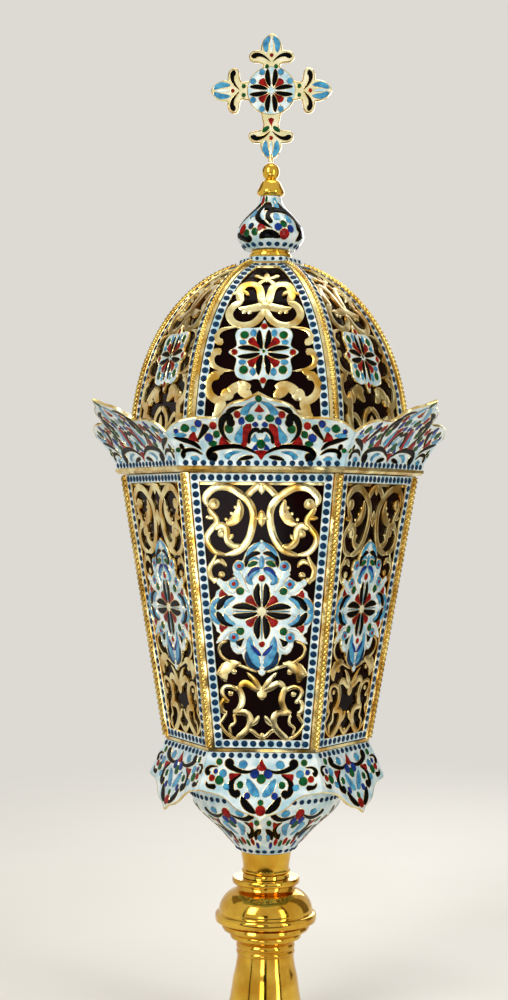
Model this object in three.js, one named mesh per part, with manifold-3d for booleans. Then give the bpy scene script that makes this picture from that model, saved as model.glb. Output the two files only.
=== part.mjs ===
// Enamel lantern on a turned brass foot: a six-sided processional lantern with a ribbed dome.
// Millimetres, +Z up. The origin is the centre of the pole socket's lower end, and face 1 looks along -Y.

import * as THREE from 'three';
import { mergeVertices } from 'three/addons/utils/BufferGeometryUtils.js';
import Module from 'manifold-3d';

const wasm = await Module();
wasm.setup();

// Driving dimensions: plan and clearances
const sides = 6;
const seatGap = 0.3;
const doorGap = 0.6;
const sweepGap = 2;

// Foot, turned in brass
const socketHeight = 72.7;
const socketRimRadius = 29;
const socketWaistRadius = 18.5;
const socketWaistHeight = 52;
const poleRadius = 14;
const poleDepth = 50;
const knobHeight = 24.7;
const knobRadius = 31;
const knobFlangeRadius = 33.5;
const knobFlangeHeight = 6;
const discRadius = 22.3;
const discThickness = 4;
const collarRadius = 17;
const collarHeight = 17;

// Rods, nuts and the candle cup
const tieRadius = 4;
const nutRadius = 8;
const nutHeight = 6.5;
const pegRadius = 3;
const candleRadius = 11;
const candleDepth = 30;
const cupWall = 2;
const panRadius = 26;
const panLip = 5;
const panThickness = 2;
const hubHeight = 8;

// Bowl and floor
const bowlHeight = 69.1;
const bowlRimInset = 0.4;
const bowlWall = 1.6;
const bowlSides = 24;
const floorThickness = 3.2;

// Body, a hexagon that widens upwards; radii are to the corners
const bodyHeight = 175;
const bodyBaseRadius = 66.6;
const bodyTopRadius = 96.5;
const plateThickness = 1.2;
const glassThickness = 2.5;
const postHalfWidth = 3;
const postProud = 0.7;
const postDepth = 6;
const bandHeight = 2;
const topRingHeight = 7.5;
const borderWidth = 5.3;
const medallionWidth = 65;
const medallionHeight = 85;
const medallionRise = 90;
const plateLift = 0.4;
const scrollWidth = 3.6;
const curlShare = 0.32;
const curlTightening = 1.6;
const curlTurn = 48;
const bodyCurlSteps = 8;
const domeCurlSteps = 6;

// Door in the rear face
const doorRimWidth = 5;
const doorRimDepth = 4.5;
const hingeLength = 70;
const hingeKnuckles = 3;
const knuckleRadius = 2.2;
const pinRadius = 1;
const hingeSides = 8;
const leafThickness = 1.1;
const knobPullRadius = 4;
const knobPullLength = 10;

// Cornice and dome
const corniceHeight = 3.4;
const corniceRadius = 102.3;
const corniceWidth = 16;
const domeSetback = 10.8;
const domeRise = 138;
const domeTopRadius = 21;
const domeFullness = 2.4;
const domeSteps = 6;
const ribDepth = 3;
const domeRingHeight = 3.5;
const domePlateDrop = 9;
const domeGlassThickness = 2;
const rosetteSize = 44;
const rosetteRise = 71;

// Petals
const crownHeight = 41.5;
const crownFlare = 36.7;
const crownCurve = 1.64;
const crownSetback = 0.3;
const skirtHeight = 40;
const skirtFlare = 15.5;
const skirtCurve = 0.95;
const petalThickness = 1.4;

// Finial and cross
const domeCollarHeight = 4.3;
const neckRadius = 14;
const neckHeight = 4.6;
const onionHeight = 35.5;
const onionRadius = 22.2;
const beadRadius = 9.15;
const ballRadius = 5.7;
const stemHeight = 22.4;
const crossDrop = 47.6;
const crossRise = 37.4;
const crossReach = 39.75;
const crossThickness = 3;
const crossDiscRadius = 15.6;
const crossArmWidth = 9;

// Derived heights, from the foot up
const knobBase = socketHeight + seatGap;
const discBase = knobBase + knobHeight + seatGap;
const collarBase = discBase + discThickness + seatGap;
const bowlBase = collarBase + collarHeight + seatGap;
const floorBase = bowlBase + bowlHeight + seatGap;
const floorTop = floorBase + floorThickness;
const bodyBase = floorTop + seatGap;
const bodyTop = bodyBase + bodyHeight;
const corniceBase = bodyTop + seatGap;
const domeBase = corniceBase + corniceHeight + seatGap;
const domeBaseRadius = corniceRadius - domeSetback;

// Derived plan values
const faceShare = Math.cos(Math.PI / sides);
const cornerSlope = Math.tan(Math.PI / sides);
const bodyBaseFace = bodyBaseRadius * faceShare;
const bodyLean = Math.atan(((bodyTopRadius - bodyBaseRadius) * faceShare) / bodyHeight);
const bodySlope = bodyHeight / Math.cos(bodyLean);
const bodySideLean = Math.atan((bodyTopRadius - bodyBaseRadius) * Math.sin(Math.PI / sides) / bodySlope);
const postCover = postHalfWidth / faceShare;
const far = 200;

// Finishes
const gilt = { color: 0xd4af37, roughness: 0.22, metalness: 1 };
const brass = { color: 0xc9a02e, roughness: 0.15, metalness: 1 };
const enamel = { color: 0xe8f4f0, roughness: 0.18, metalness: 0 };
const ruby = { color: 0x2a0508, roughness: 0.05, metalness: 0 };
const steel = { color: 0x8f9296, roughness: 0.35, metalness: 1 };

const lantern = new THREE.Group();

// A closed mesh with shared vertices and no collapsed faces, turned so that its faces point out
function solid(geometry, matrix = new THREE.Matrix4()) {
  const bare = geometry.clone().applyMatrix4(matrix);
  bare.deleteAttribute('normal');
  bare.deleteAttribute('uv');
  const shared = mergeVertices(bare, 1e-4);
  const index = shared.index.array;
  const triVerts = [];
  for (let i = 0; i < index.length; i += 3) {
    const [a, b, c] = [index[i], index[i + 1], index[i + 2]];
    if (a !== b && b !== c && c !== a) triVerts.push(a, b, c);
  }
  const vertProperties = new Float32Array(shared.attributes.position.array);
  if (signedVolume(vertProperties, triVerts) < 0) triVerts.reverse();
  return new wasm.Manifold(
    new wasm.Mesh({ numProp: 3, vertProperties, triVerts: new Uint32Array(triVerts) }));
}

function signedVolume(positions, triangles) {
  const corner = (i) => new THREE.Vector3().fromArray(positions, 3 * triangles[i]);
  let volume = 0;
  for (let i = 0; i < triangles.length; i += 3) {
    volume += corner(i).dot(corner(i + 1).cross(corner(i + 2)));
  }
  return volume;
}

const joined = (pieces) => pieces.reduce((whole, piece) => whole.add(piece));

function geometryOf(shape) {
  const mesh = shape.getMesh();
  const geometry = new THREE.BufferGeometry();
  geometry.setAttribute('position', new THREE.BufferAttribute(mesh.vertProperties, 3));
  geometry.setIndex(new THREE.BufferAttribute(mesh.triVerts, 1));
  return geometry;
}

// A finished solid set into another frame
const placed = (shape, frame) => solid(geometryOf(shape), frame);

// One named mesh of the lantern, in the group of its face or of the whole
function addPiece(name, shape, finish, face = 0) {
  const geometry = geometryOf(shape);
  geometry.computeVertexNormals();
  const piece = new THREE.Mesh(geometry, new THREE.MeshStandardMaterial(finish));
  piece.name = name;
  const turned = new THREE.Group();
  turned.rotation.z = face * 2 * Math.PI / sides;
  turned.add(piece);
  lantern.add(turned);
}

// Bodies of revolution about +Z, and their six-sided kin with flat faces along -Y
function turned(profile, segments, phase) {
  const points = profile.map(([radius, height]) => new THREE.Vector2(radius, height));
  const closed = profile[0][0] > 0 || profile[profile.length - 1][0] > 0;
  if (closed) points.push(points[0].clone());
  const lathe = new THREE.LatheGeometry(points, segments, phase);
  return solid(lathe.rotateX(Math.PI / 2));
}

const roundSides = 20;
const round = (profile, segments = roundSides) => turned(profile, segments, 0);
const sixSided = (profile) => turned(profile, sides, Math.PI / sides);

const ringProfile = (inner, outer, low, high) => [[inner, low], [outer, low], [outer, high], [inner, high]];

// A flat outline pushed along the third axis of a frame
function pushed(outline, depth, frame = new THREE.Matrix4()) {
  const shape = new THREE.Shape(outline.map(([x, y]) => new THREE.Vector2(x, y)));
  return solid(new THREE.ExtrudeGeometry(shape, { depth, bevelEnabled: false }), frame);
}

function frameOf(origin, xAxis, yAxis) {
  const x = new THREE.Vector3(...xAxis);
  const y = new THREE.Vector3(...yAxis);
  const z = x.clone().cross(y);
  return new THREE.Matrix4().makeBasis(x, y, z).setPosition(...origin);
}

// Frames of face 1: looking straight at it, along its width, and lying in the leaning body plane
const elevation = frameOf([0, 0, 0], [1, 0, 0], [0, 0, 1]);
const across = frameOf([far, 0, 0], [0, -1, 0], [0, 0, 1]);
const leanSin = Math.sin(bodyLean);
const leanCos = Math.cos(bodyLean);
const bodyPlane = (depth) => frameOf(
  [0, -bodyBaseFace + depth * leanCos, bodyBase + depth * leanSin],
  [1, 0, 0], [0, -leanSin, leanCos]);

// The space of one face between its two corner planes, set back by a distance from each
function faceWedge(setback) {
  const start = setback / Math.sin(Math.PI / sides);
  const half = (far - start) * cornerSlope;
  const plan = [[0, -start], [-half, -far], [half, -far]];
  const upright = frameOf([0, 0, -far], [1, 0, 0], [0, 1, 0]);
  return pushed(plan, 5 * far, upright);
}

const levels = (low, high) => solid(
  new THREE.BoxGeometry(4 * far, 4 * far, high - low),
  new THREE.Matrix4().makeTranslation(0, 0, (low + high) / 2));

// A line of points moved sideways by a distance, to the right of its direction
function offsetLine(line, distance) {
  return line.map((point, i) => {
    const before = line[Math.max(i - 1, 0)];
    const after = line[Math.min(i + 1, line.length - 1)];
    const run = new THREE.Vector2(after[0] - before[0], after[1] - before[1]).normalize();
    return [point[0] + run.y * distance, point[1] - run.x * distance];
  });
}

const shellProfile = (line, out, inward) =>
  [...offsetLine(line, out), ...offsetLine(line, -inward).reverse()];

// A curved plate of face 1 from its side view, between two depths under the line
function faceBand(line, from, to) {
  return pushed(shellProfile(line, -from, to), 2 * far, across);
}

// A scroll stroke: a centre line with a width at each end
function stroke(line, startWidth, endWidth) {
  const left = [];
  const right = [];
  line.forEach((point, i) => {
    const before = line[Math.max(i - 1, 0)];
    const after = line[Math.min(i + 1, line.length - 1)];
    const run = new THREE.Vector2(after[0] - before[0], after[1] - before[1]).normalize();
    const half = THREE.MathUtils.lerp(startWidth, endWidth, i / (line.length - 1)) / 2;
    left.push([point[0] - run.y * half, point[1] + run.x * half]);
    right.push([point[0] + run.y * half, point[1] - run.x * half]);
  });
  return [...left, ...right.reverse()];
}

function spiral(centre, startRadius, endRadius, startAngle, sweep, steps) {
  const points = [];
  for (let i = 0; i <= steps; i++) {
    const angle = THREE.MathUtils.degToRad(startAngle + sweep * i / steps);
    const radius = THREE.MathUtils.lerp(startRadius, endRadius, (i / steps) ** curlTightening);
    points.push([centre[0] + radius * Math.cos(angle), centre[1] + radius * Math.sin(angle)]);
  }
  return points;
}

const mirrored = (outline) => outline.map(([x, y]) => [-x, y]);

// A pair of scrolls that reach from the middle stem to the border, opening up (+1) or down (-1)
function scrollPair(half, rise, way, steps) {
  const size = half / 2 + scrollWidth / 4;
  const curl = spiral([half / 2, rise], size, size * curlShare, -110 * way, curlTurn * steps * way, steps);
  const link = [[0, curl[0][1] - way * scrollWidth], curl[0]];
  const outlines = [stroke(curl, scrollWidth, scrollWidth * 0.8), stroke(link, scrollWidth, scrollWidth)];
  return outlines.flatMap((outline) => [outline, mirrored(outline)]);
}

// A lobed outline, as of a rosette or medallion
function lobed(centreHeight, halfWidth, halfHeight, lobes, depth, count) {
  const points = [];
  for (let i = 0; i < count; i++) {
    const angle = 2 * Math.PI * i / count;
    const swell = 1 - depth * (1 - Math.cos(lobes * angle)) / 2;
    points.push([halfWidth * swell * Math.cos(angle), centreHeight + halfHeight * swell * Math.sin(angle)]);
  }
  return points;
}

// Pole socket: a trumpet with three turned rings, bored for the pole and for the tie rod
const tieHole = tieRadius + seatGap;
const ringStep = (socketHeight - socketWaistHeight) / 4;
const socketShape = round([
  [poleRadius, 0], [socketRimRadius, 0], [socketRimRadius, 3], [socketRimRadius - 3, 7],
  [(socketRimRadius + socketWaistRadius) / 2 - 1, socketWaistHeight * 0.55],
  [socketWaistRadius + 1.2, socketWaistHeight * 0.83], [socketWaistRadius, socketWaistHeight],
  [socketWaistRadius + 0.8, socketWaistHeight + 1], [socketWaistRadius + 0.8, socketWaistHeight + ringStep],
  [socketWaistRadius + 5.2, socketWaistHeight + ringStep + 2.4],
  [socketWaistRadius + 5.2, socketWaistHeight + 2 * ringStep + 3],
  [socketWaistRadius + 10.4, socketWaistHeight + 3 * ringStep],
  [socketWaistRadius + 10.4, socketWaistHeight + 3 * ringStep + 3.2],
  [socketWaistRadius + 6, socketHeight], [tieHole, socketHeight],
  [tieHole, poleDepth + tieRadius], [poleRadius, poleDepth],
]);
const tieBase = poleDepth + tieRadius + seatGap;
addPiece('pole_socket', socketShape, brass);

// Knob, flange disc and neck collar, threaded on the tie rod
addPiece('knob', round([
  [tieHole, knobBase], [knobFlangeRadius - 1.2, knobBase], [knobFlangeRadius, knobBase + 1.2],
  [knobFlangeRadius, knobBase + knobFlangeHeight - 1], [knobRadius, knobBase + knobFlangeHeight],
  [knobRadius, knobBase + knobHeight * 0.36], [knobRadius - 1.6, knobBase + knobHeight * 0.55],
  [knobRadius - 4, knobBase + knobHeight * 0.69], [knobRadius * 0.76, knobBase + knobHeight * 0.81],
  [discRadius * 0.84, knobBase + knobHeight * 0.83], [discRadius * 0.84, knobBase + knobHeight],
  [tieHole, knobBase + knobHeight],
]), brass);
addPiece('flange_disc', round([
  [tieHole, discBase], [discRadius - 3, discBase], [discRadius, discBase + discThickness / 2],
  [discRadius, discBase + discThickness * 0.75], [collarRadius, discBase + discThickness],
  [tieHole, discBase + discThickness],
]), brass);
addPiece('neck_collar', round([
  [tieHole, collarBase], [collarRadius - 1.6, collarBase], [collarRadius - 0.9, collarBase + 3],
  [collarRadius - 0.9, collarBase + 5], [collarRadius - 1.7, collarBase + 5.5],
  [collarRadius - 1.4, collarBase + collarHeight * 0.6], [collarRadius, collarBase + collarHeight],
  [tieHole, collarBase + collarHeight],
]), brass);

// Enamelled bowl: an open shell with a hole for the tie rod
const skirtBaseFace = (bodyBaseRadius + postProud) * faceShare + seatGap;
const floorFace = skirtBaseFace - petalThickness - seatGap;
const bowlRimRadius = floorFace - bowlRimInset;
const bowlShares = [[0.01, 0], [0.155, 0.09], [0.412, 0.25], [0.724, 0.415], [0.825, 0.53], [0.95, 0.78], [1, 1]];
const bowlLine = bowlShares.map(([out, up]) => [
  THREE.MathUtils.lerp(collarRadius, bowlRimRadius, out), bowlBase + up * bowlHeight]);
const bowlInner = offsetLine(bowlLine, -bowlWall);
bowlInner[0] = [bowlInner[0][0], bowlBase + bowlWall];
bowlInner[bowlInner.length - 1][1] = bowlBase + bowlHeight;
addPiece('bowl', round([
  [tieHole, bowlBase], ...bowlLine, ...bowlInner.reverse(), [tieHole, bowlBase + bowlWall],
], bowlSides), enamel);

// Floor of the light chamber, the rod and nut that clamp the foot, and the candle cup on the rod
const floorRadius = floorFace / faceShare;
const boreFor = (radius, low, high) => round([[0, low], [radius, low], [radius, high], [0, high]]);
const tieBore = boreFor(tieHole, 0, bodyTop);
const floorPlate = sixSided([[0, floorBase], [floorRadius, floorBase], [floorRadius, floorTop], [0, floorTop]]);
addPiece('floor_plate', floorPlate.subtract(tieBore), brass);

const nutBase = floorTop + seatGap;
const cupBase = nutBase + nutHeight + seatGap;
const tieTop = cupBase + hubHeight - panThickness;
const nutProfile = (base) => [[0, base], [nutRadius, base], [nutRadius, base + nutHeight], [0, base + nutHeight]];
const hexNut = (base, bore) => turned(nutProfile(base), 6, 0).subtract(bore);
addPiece('tie_rod', round([[0, tieBase], [tieRadius, tieBase], [tieRadius, tieTop], [0, tieTop]]), steel);
addPiece('tie_nut', hexNut(nutBase, tieBore), steel);

const panBase = cupBase + hubHeight;
const cupTop = panBase + panThickness + candleDepth;
addPiece('candle_cup', round([
  [tieHole, cupBase], [tieHole + 4, cupBase], [tieHole + 4, panBase], [panRadius - 2, panBase],
  [panRadius, panBase + panLip], [panRadius - panThickness, panBase + panLip],
  [panRadius - 4, panBase + panThickness], [candleRadius + cupWall, panBase + panThickness],
  [candleRadius + cupWall, cupTop], [candleRadius, cupTop], [candleRadius, panBase + panThickness],
  [tieHole, panBase + panThickness],
]), brass);

// The body's corner line, and the slabs that stand on the three pairs of corners
const bodyLine = [[bodyBaseRadius, bodyBase], [bodyTopRadius, bodyTop]];
const slabs = (halfWidth) => joined([0, 1, 2].map((i) => solid(
  new THREE.BoxGeometry(2 * far, 2 * halfWidth, 6 * far),
  new THREE.Matrix4().makeRotationZ(i * Math.PI / 3))));
const sixSidedShell = (line, out, inward) => sixSided(
  shellProfile(line, out / faceShare, inward / faceShare));
const postSlabs = slabs(postHalfWidth);

const bandTop = bodyBase + bandHeight;
const topRingBase = bodyTop - topRingHeight;
const plateBack = plateThickness + seatGap;
const bodyShell = sixSidedShell(bodyLine, postProud, postDepth);
const innerShell = sixSidedShell(bodyLine, -plateBack, postDepth + seatGap);
const posts = bodyShell.intersect(postSlabs);
const bottomBand = bodyShell.intersect(levels(bodyBase - 1, bandTop));
const topRing = innerShell.intersect(levels(topRingBase, bodyTop + 1));
const bodyLevels = levels(bodyBase, bodyTop);
addPiece('body_frame', joined([posts, bottomBand, topRing]).intersect(bodyLevels), gilt);

// Pierced body plates: dotted border, medallion, and pairs of scrolls above and below it
const faceHalf = (rise) => bodyBaseRadius / 2 + rise * Math.tan(bodySideLean);
const fieldHalf = (rise) => faceHalf(rise) - postCover - borderWidth;

function bodyPattern() {
  const upperRise = (medallionRise + medallionHeight / 2 + bodySlope) / 2 - 3;
  const lowerRise = (medallionRise - medallionHeight / 2 + bandHeight) / 2 + 3;
  const outlines = [
    ...scrollPair(fieldHalf(upperRise), upperRise, 1, bodyCurlSteps),
    ...scrollPair(fieldHalf(lowerRise), lowerRise, -1, bodyCurlSteps),
    stroke([[0, 0], [0, bodySlope]], scrollWidth, scrollWidth),
    lobed(medallionRise, medallionWidth / 2, medallionHeight / 2, 8, 0.16, 16),
  ];
  return joined(outlines.map((outline) => pushed(outline, plateThickness)));
}

// A trapezoid between two rises, set in from the corner lines by a distance
function bodyTrapezoid(low, high, inset, depth) {
  const [bottom, top] = [faceHalf(low) - inset, faceHalf(high) - inset];
  return pushed([[-bottom, low], [bottom, low], [top, high], [-top, high]], depth);
}

function bodyPlate(low) {
  const start = (low - bodyBase) / leanCos;
  const end = bodySlope - plateLift;
  const inset = postCover + borderWidth;
  const window = bodyTrapezoid(start + borderWidth, end - borderWidth, inset, plateThickness);
  const whole = bodyTrapezoid(start, end, postCover, plateThickness);
  const plate = whole.subtract(window).add(bodyPattern().intersect(whole));
  return placed(plate, bodyPlane(plateThickness)).intersect(faceWedge(postHalfWidth + seatGap));
}

// Panes behind the plates, between two depths under the body plane
function bodySheet(from, to, setback, low, high) {
  const half = faceHalf(bodySlope);
  const outline = [[-half, 0], [half, 0], [half, bodySlope], [-half, bodySlope]];
  const sheet = pushed(outline, to - from, bodyPlane(to));
  return sheet.intersect(faceWedge(setback)).intersect(levels(low, high));
}

const glassBack = plateBack + glassThickness;
const fixedPlate = bodyPlate(bandTop + seatGap);
const fixedGlass = bodySheet(plateBack, glassBack, postHalfWidth + seatGap,
  bandTop + seatGap, topRingBase - seatGap);
const doorFace = sides / 2;
for (let face = 0; face < sides; face++) {
  if (face === doorFace) continue;
  addPiece(`body_panel_${face + 1}`, fixedPlate, gilt, face);
  addPiece(`body_glass_${face + 1}`, fixedGlass, ruby, face);
}

// Door in the rear face: plate, rim behind it and pane inside the rim
const doorLow = bandTop + sweepGap;
const doorHigh = topRingBase - seatGap;
const rimBack = plateBack + doorRimDepth;
const rimSetback = postHalfWidth + 2 * seatGap;
const rimInside = rimSetback + doorRimWidth;
const doorRim = bodySheet(plateBack, rimBack, rimSetback, doorLow, doorHigh).subtract(
  bodySheet(plateBack - 1, rimBack + 1, rimInside, doorLow + doorRimWidth, doorHigh - doorRimWidth));
addPiece('door_panel', bodyPlate(bandTop + doorGap), gilt, doorFace);
addPiece('door_frame', doorRim, gilt, doorFace);
addPiece('door_glass', bodySheet(plateBack, glassBack, rimInside + seatGap,
  doorLow + doorRimWidth + seatGap, doorHigh - doorRimWidth - seatGap), ruby, doorFace);

// Hinge frame: +Z along the leaning side of the door, +X into the door, +Y outwards
const hingeRise = bodySlope / 2;
const hingeOut = knuckleRadius + postProud + seatGap;
const sideSin = Math.sin(bodySideLean);
const sideCos = Math.cos(bodySideLean);
const hingeOrigin = new THREE.Vector3(faceHalf(hingeRise) - postCover, hingeRise, 0)
  .applyMatrix4(bodyPlane(-hingeOut));
const intoDoor = [-sideCos, -sideSin * leanSin, sideSin * leanCos];
const outward = [0, -leanCos, -leanSin];
const hingeFrame = frameOf(hingeOrigin.toArray(), intoDoor, outward);
const alongHinge = (piece) => solid(piece, hingeFrame);

function hingeTube(inner, outer, low, high) {
  const ring = ringProfile(inner, outer, low, high);
  const points = (inner > 0 ? [...ring, ring[0]] : ring)
    .map(([radius, height]) => new THREE.Vector2(radius, height));
  return alongHinge(new THREE.LatheGeometry(points, hingeSides).rotateX(Math.PI / 2));
}

function hingeBox(x0, x1, y0, y1, z0, z1) {
  const box = new THREE.BoxGeometry(x1 - x0, y1 - y0, z1 - z0);
  return alongHinge(box.translate((x0 + x1) / 2, (y0 + y1) / 2, (z0 + z1) / 2));
}

const knuckleLength = hingeLength / hingeKnuckles;
const pinHole = pinRadius + seatGap;

function hingeLeaf(first, from, to, faceGap) {
  const low = -hingeLength / 2;
  const plateY = -hingeOut + faceGap;
  let leaf = hingeBox(from, to, plateY, plateY + leafThickness, low, -low);
  for (let i = 0; i < hingeKnuckles; i++) {
    const start = low + i * knuckleLength;
    const own = i % 2 === first;
    if (own) continue;
    leaf = leaf.subtract(hingeTube(0, knuckleRadius + seatGap, start - seatGap / 2,
      start + knuckleLength + seatGap / 2));
  }
  for (let i = first; i < hingeKnuckles; i += 2) {
    const start = low + i * knuckleLength + seatGap / 2;
    leaf = leaf.add(hingeTube(pinHole, knuckleRadius, start, start + knuckleLength - seatGap));
  }
  const bore = new THREE.CylinderGeometry(pinHole, pinHole, hingeLength + 2, hingeSides).rotateX(Math.PI / 2);
  return leaf.subtract(alongHinge(bore));
}

addPiece('frame_hinge_leaf', hingeLeaf(0, seatGap - postCover, 0, postProud + seatGap), gilt, doorFace);
addPiece('door_hinge_leaf', hingeLeaf(1, 0, borderWidth - seatGap, seatGap), gilt, doorFace);
const pin = new THREE.CylinderGeometry(pinRadius, pinRadius, hingeLength, hingeSides).rotateX(Math.PI / 2);
addPiece('hinge_pin', alongHinge(pin), steel, doorFace);

// Pull knob on the free side of the door
const pullRise = bodySlope / 2;
const pullFrame = bodyPlane(-seatGap).multiply(new THREE.Matrix4().makeTranslation(
  -(faceHalf(pullRise) - postCover - borderWidth / 2), pullRise, 0));
const pullProfile = [
  [0, 0], [borderWidth / 2, 0], [borderWidth / 2, 1.2], [1.4, 2], [1.4, knobPullLength - knobPullRadius * 1.2],
  [knobPullRadius, knobPullLength - knobPullRadius * 0.8], [knobPullRadius, knobPullLength - 1.2],
  [knobPullRadius - 1.4, knobPullLength], [0, knobPullLength],
].map(([radius, height]) => new THREE.Vector2(radius, height));
const pull = new THREE.LatheGeometry(pullProfile, 14).rotateX(Math.PI / 2);
addPiece('door_knob', solid(pull, pullFrame), gilt, doorFace);

// Skirt petals under the body, hung on the edge of the floor plate
const curvedLine = (start, rise, flare, power, steps) => Array.from({ length: steps + 1 }, (_, i) => {
  const share = i / steps;
  return [start[0] + flare * share ** power, start[1] + rise * share];
});

function petalOutline(halfPoints, half, base, rise) {
  const curve = new THREE.SplineCurve(halfPoints.map(([u, share]) => new THREE.Vector2(u * half, share)));
  const right = curve.getPoints(16).map((point) => [point.x, base + rise * point.y]);
  right[right.length - 1][0] = 0;
  const foot = [1.6 * half, base];
  const edge = [1.6 * half, right[0][1]];
  const run = [foot, edge, ...right];
  return [...run, ...mirrored(run.slice(0, -1)).reverse()];
}

const skirtBase = floorTop;
const skirtHalf = skirtBaseFace * cornerSlope;
const skirtOutline = petalOutline([
  [1.2, 0.55], [0.98, 0.59], [0.8, 0.6], [0.65, 0.66], [0.5, 0.775], [0.355, 0.85], [0.17, 0.91], [0, 1],
], skirtHalf, skirtBase, -skirtHeight);
const skirtLine = curvedLine([skirtBaseFace, skirtBase], -skirtHeight, skirtFlare, skirtCurve, 5).reverse();
const skirtPetal = faceBand(skirtLine, 0, petalThickness)
  .intersect(pushed(skirtOutline, far, elevation))
  .intersect(faceWedge(seatGap / 2));

// Cornice between body and dome, and the crown petals that stand on its edge
addPiece('cornice', sixSided([
  [corniceRadius - corniceWidth, corniceBase], [corniceRadius - 2.2, corniceBase],
  [corniceRadius, corniceBase + corniceHeight * 0.45], [corniceRadius, corniceBase + corniceHeight],
  [corniceRadius - corniceWidth, corniceBase + corniceHeight],
]), gilt);

const crownFace = corniceRadius * faceShare - crownSetback;
const crownHalf = crownFace * cornerSlope;
const crownOutline = petalOutline([
  [1.15, 0.48], [1, 0.62], [0.86, 0.665], [0.735, 0.672], [0.59, 0.665], [0.47, 0.7],
  [0.4, 0.81], [0.255, 0.9], [0.12, 0.93], [0, 1],
], crownHalf, domeBase, crownHeight);
const crownLine = curvedLine([crownFace, domeBase], crownHeight, crownFlare, crownCurve, 6);
const crownPetal = faceBand(crownLine, 0, petalThickness)
  .intersect(pushed(crownOutline, far, elevation))
  .intersect(levels(domeBase, domeBase + 2 * crownHeight))
  .intersect(faceWedge(seatGap / 2));
const trimmedSkirt = skirtPetal.intersect(levels(skirtBase - 2 * skirtHeight, skirtBase));
for (let face = 0; face < sides; face++) {
  addPiece(`skirt_petal_${face + 1}`, trimmedSkirt, enamel, face);
  addPiece(`crown_petal_${face + 1}`, crownPetal, enamel, face);
}

// Dome: the corner line is a full ogive, cut off where the finial's collar sits
const domeEnd = Math.acos(domeTopRadius / domeBaseRadius);
const domeLine = Array.from({ length: domeSteps + 1 }, (_, i) => {
  const angle = domeEnd * i / domeSteps;
  return [domeBaseRadius * Math.cos(angle), domeBase + domeRise * Math.sin(angle) ** (2 / domeFullness)];
});
const domeFaceLine = domeLine.map(([radius, height]) => [radius * faceShare, height]);
const domeTop = domeLine[domeSteps][1];
const domeShell = sixSided(shellProfile(domeLine, postProud, ribDepth));
const ribs = domeShell.intersect(slabs(postHalfWidth));
const domeFoot = domeShell.intersect(levels(domeBase - 9, domeBase + domeRingHeight));
const pegHole = pegRadius + seatGap;
const plateBase = domeTop - domePlateDrop;
const hubRadius = domeTopRadius - 1;
const coreLine = offsetLine(domeLine, -(plateBack + seatGap) / faceShare);
const domeCore = sixSided([[0, domeBase], ...coreLine, [0, coreLine[domeSteps][1]]]);
const hub = sixSided([[0, plateBase], [hubRadius, plateBase], [hubRadius, domeTop], [0, domeTop]]);
const crownPlate = domeCore.intersect(levels(plateBase, domeTop)).add(hub);
const domeLevels = levels(domeBase, domeTop);
const pegBore = boreFor(pegHole, 0, domeTop + domeRise);
const domeCage = joined([ribs, domeFoot, crownPlate]).intersect(domeLevels);
addPiece('dome_frame', domeCage.subtract(pegBore), gilt);

// Pierced dome plates: the pattern is laid out square to the chord of the curve
const domeChord = new THREE.Vector2(
  domeFaceLine[0][0] - domeFaceLine[domeSteps][0], domeTop - domeBase);
const chordSin = domeChord.x / domeChord.length();
const chordCos = domeChord.y / domeChord.length();
const domePlane = frameOf([0, -domeFaceLine[0][0] + far / 2 * chordCos, domeBase - far / 2 * chordSin],
  [1, 0, 0], [0, chordSin, chordCos]);
const chordLength = domeChord.length();
const domeHalf = (rise) => THREE.MathUtils.lerp(domeBaseRadius, domeTopRadius,
  (rise / chordLength) ** domeFullness) / 2;
const domeFieldHalf = (rise) => domeHalf(rise) - postCover - borderWidth;

function domePattern() {
  const lowerRise = (rosetteRise - rosetteSize / 2) / 2 + 2;
  const upperRise = rosetteRise + rosetteSize / 2 + 12;
  const outlines = [
    ...scrollPair(domeFieldHalf(lowerRise), lowerRise, -1, domeCurlSteps),
    ...scrollPair(domeFieldHalf(upperRise), upperRise, 1, domeCurlSteps),
    stroke([[0, 0], [0, chordLength]], scrollWidth, scrollWidth),
    lobed(rosetteRise, rosetteSize / 2, rosetteSize / 2, 8, 0.16, 16),
  ];
  return placed(joined(outlines.map((outline) => pushed(outline, far))), domePlane);
}

const domeBand = faceBand(domeFaceLine, 0, plateThickness);
const domeLow = domeBase + seatGap;
const domeHigh = domeTop - 0.1;
const ribSetback = postHalfWidth + seatGap;
const hubClear = pushed([[-far, -hubRadius * faceShare - seatGap], [far, -hubRadius * faceShare - seatGap],
  [far, -far], [-far, -far]], 5 * far, frameOf([0, 0, -far], [1, 0, 0], [0, 1, 0]));
const domeFootClear = levels(domeBase + domeRingHeight + seatGap, domeHigh);
const domeEdge = faceWedge(ribSetback).intersect(domeFootClear).intersect(hubClear);
const domeWindow = faceWedge(ribSetback + borderWidth * faceShare)
  .intersect(levels(domeLow + domeRingHeight + borderWidth, domeTop - borderWidth));
const domePlate = domeBand.intersect(domeEdge)
  .subtract(domeWindow.subtract(domePattern()));
const domeGlass = faceBand(domeFaceLine, plateBack, plateBack + domeGlassThickness)
  .intersect(faceWedge(ribSetback))
  .intersect(levels(domeBase + domeRingHeight + seatGap, plateBase - seatGap));
for (let face = 0; face < sides; face++) {
  addPiece(`dome_panel_${face + 1}`, domePlate, gilt, face);
  addPiece(`dome_glass_${face + 1}`, domeGlass, ruby, face);
}

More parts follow.
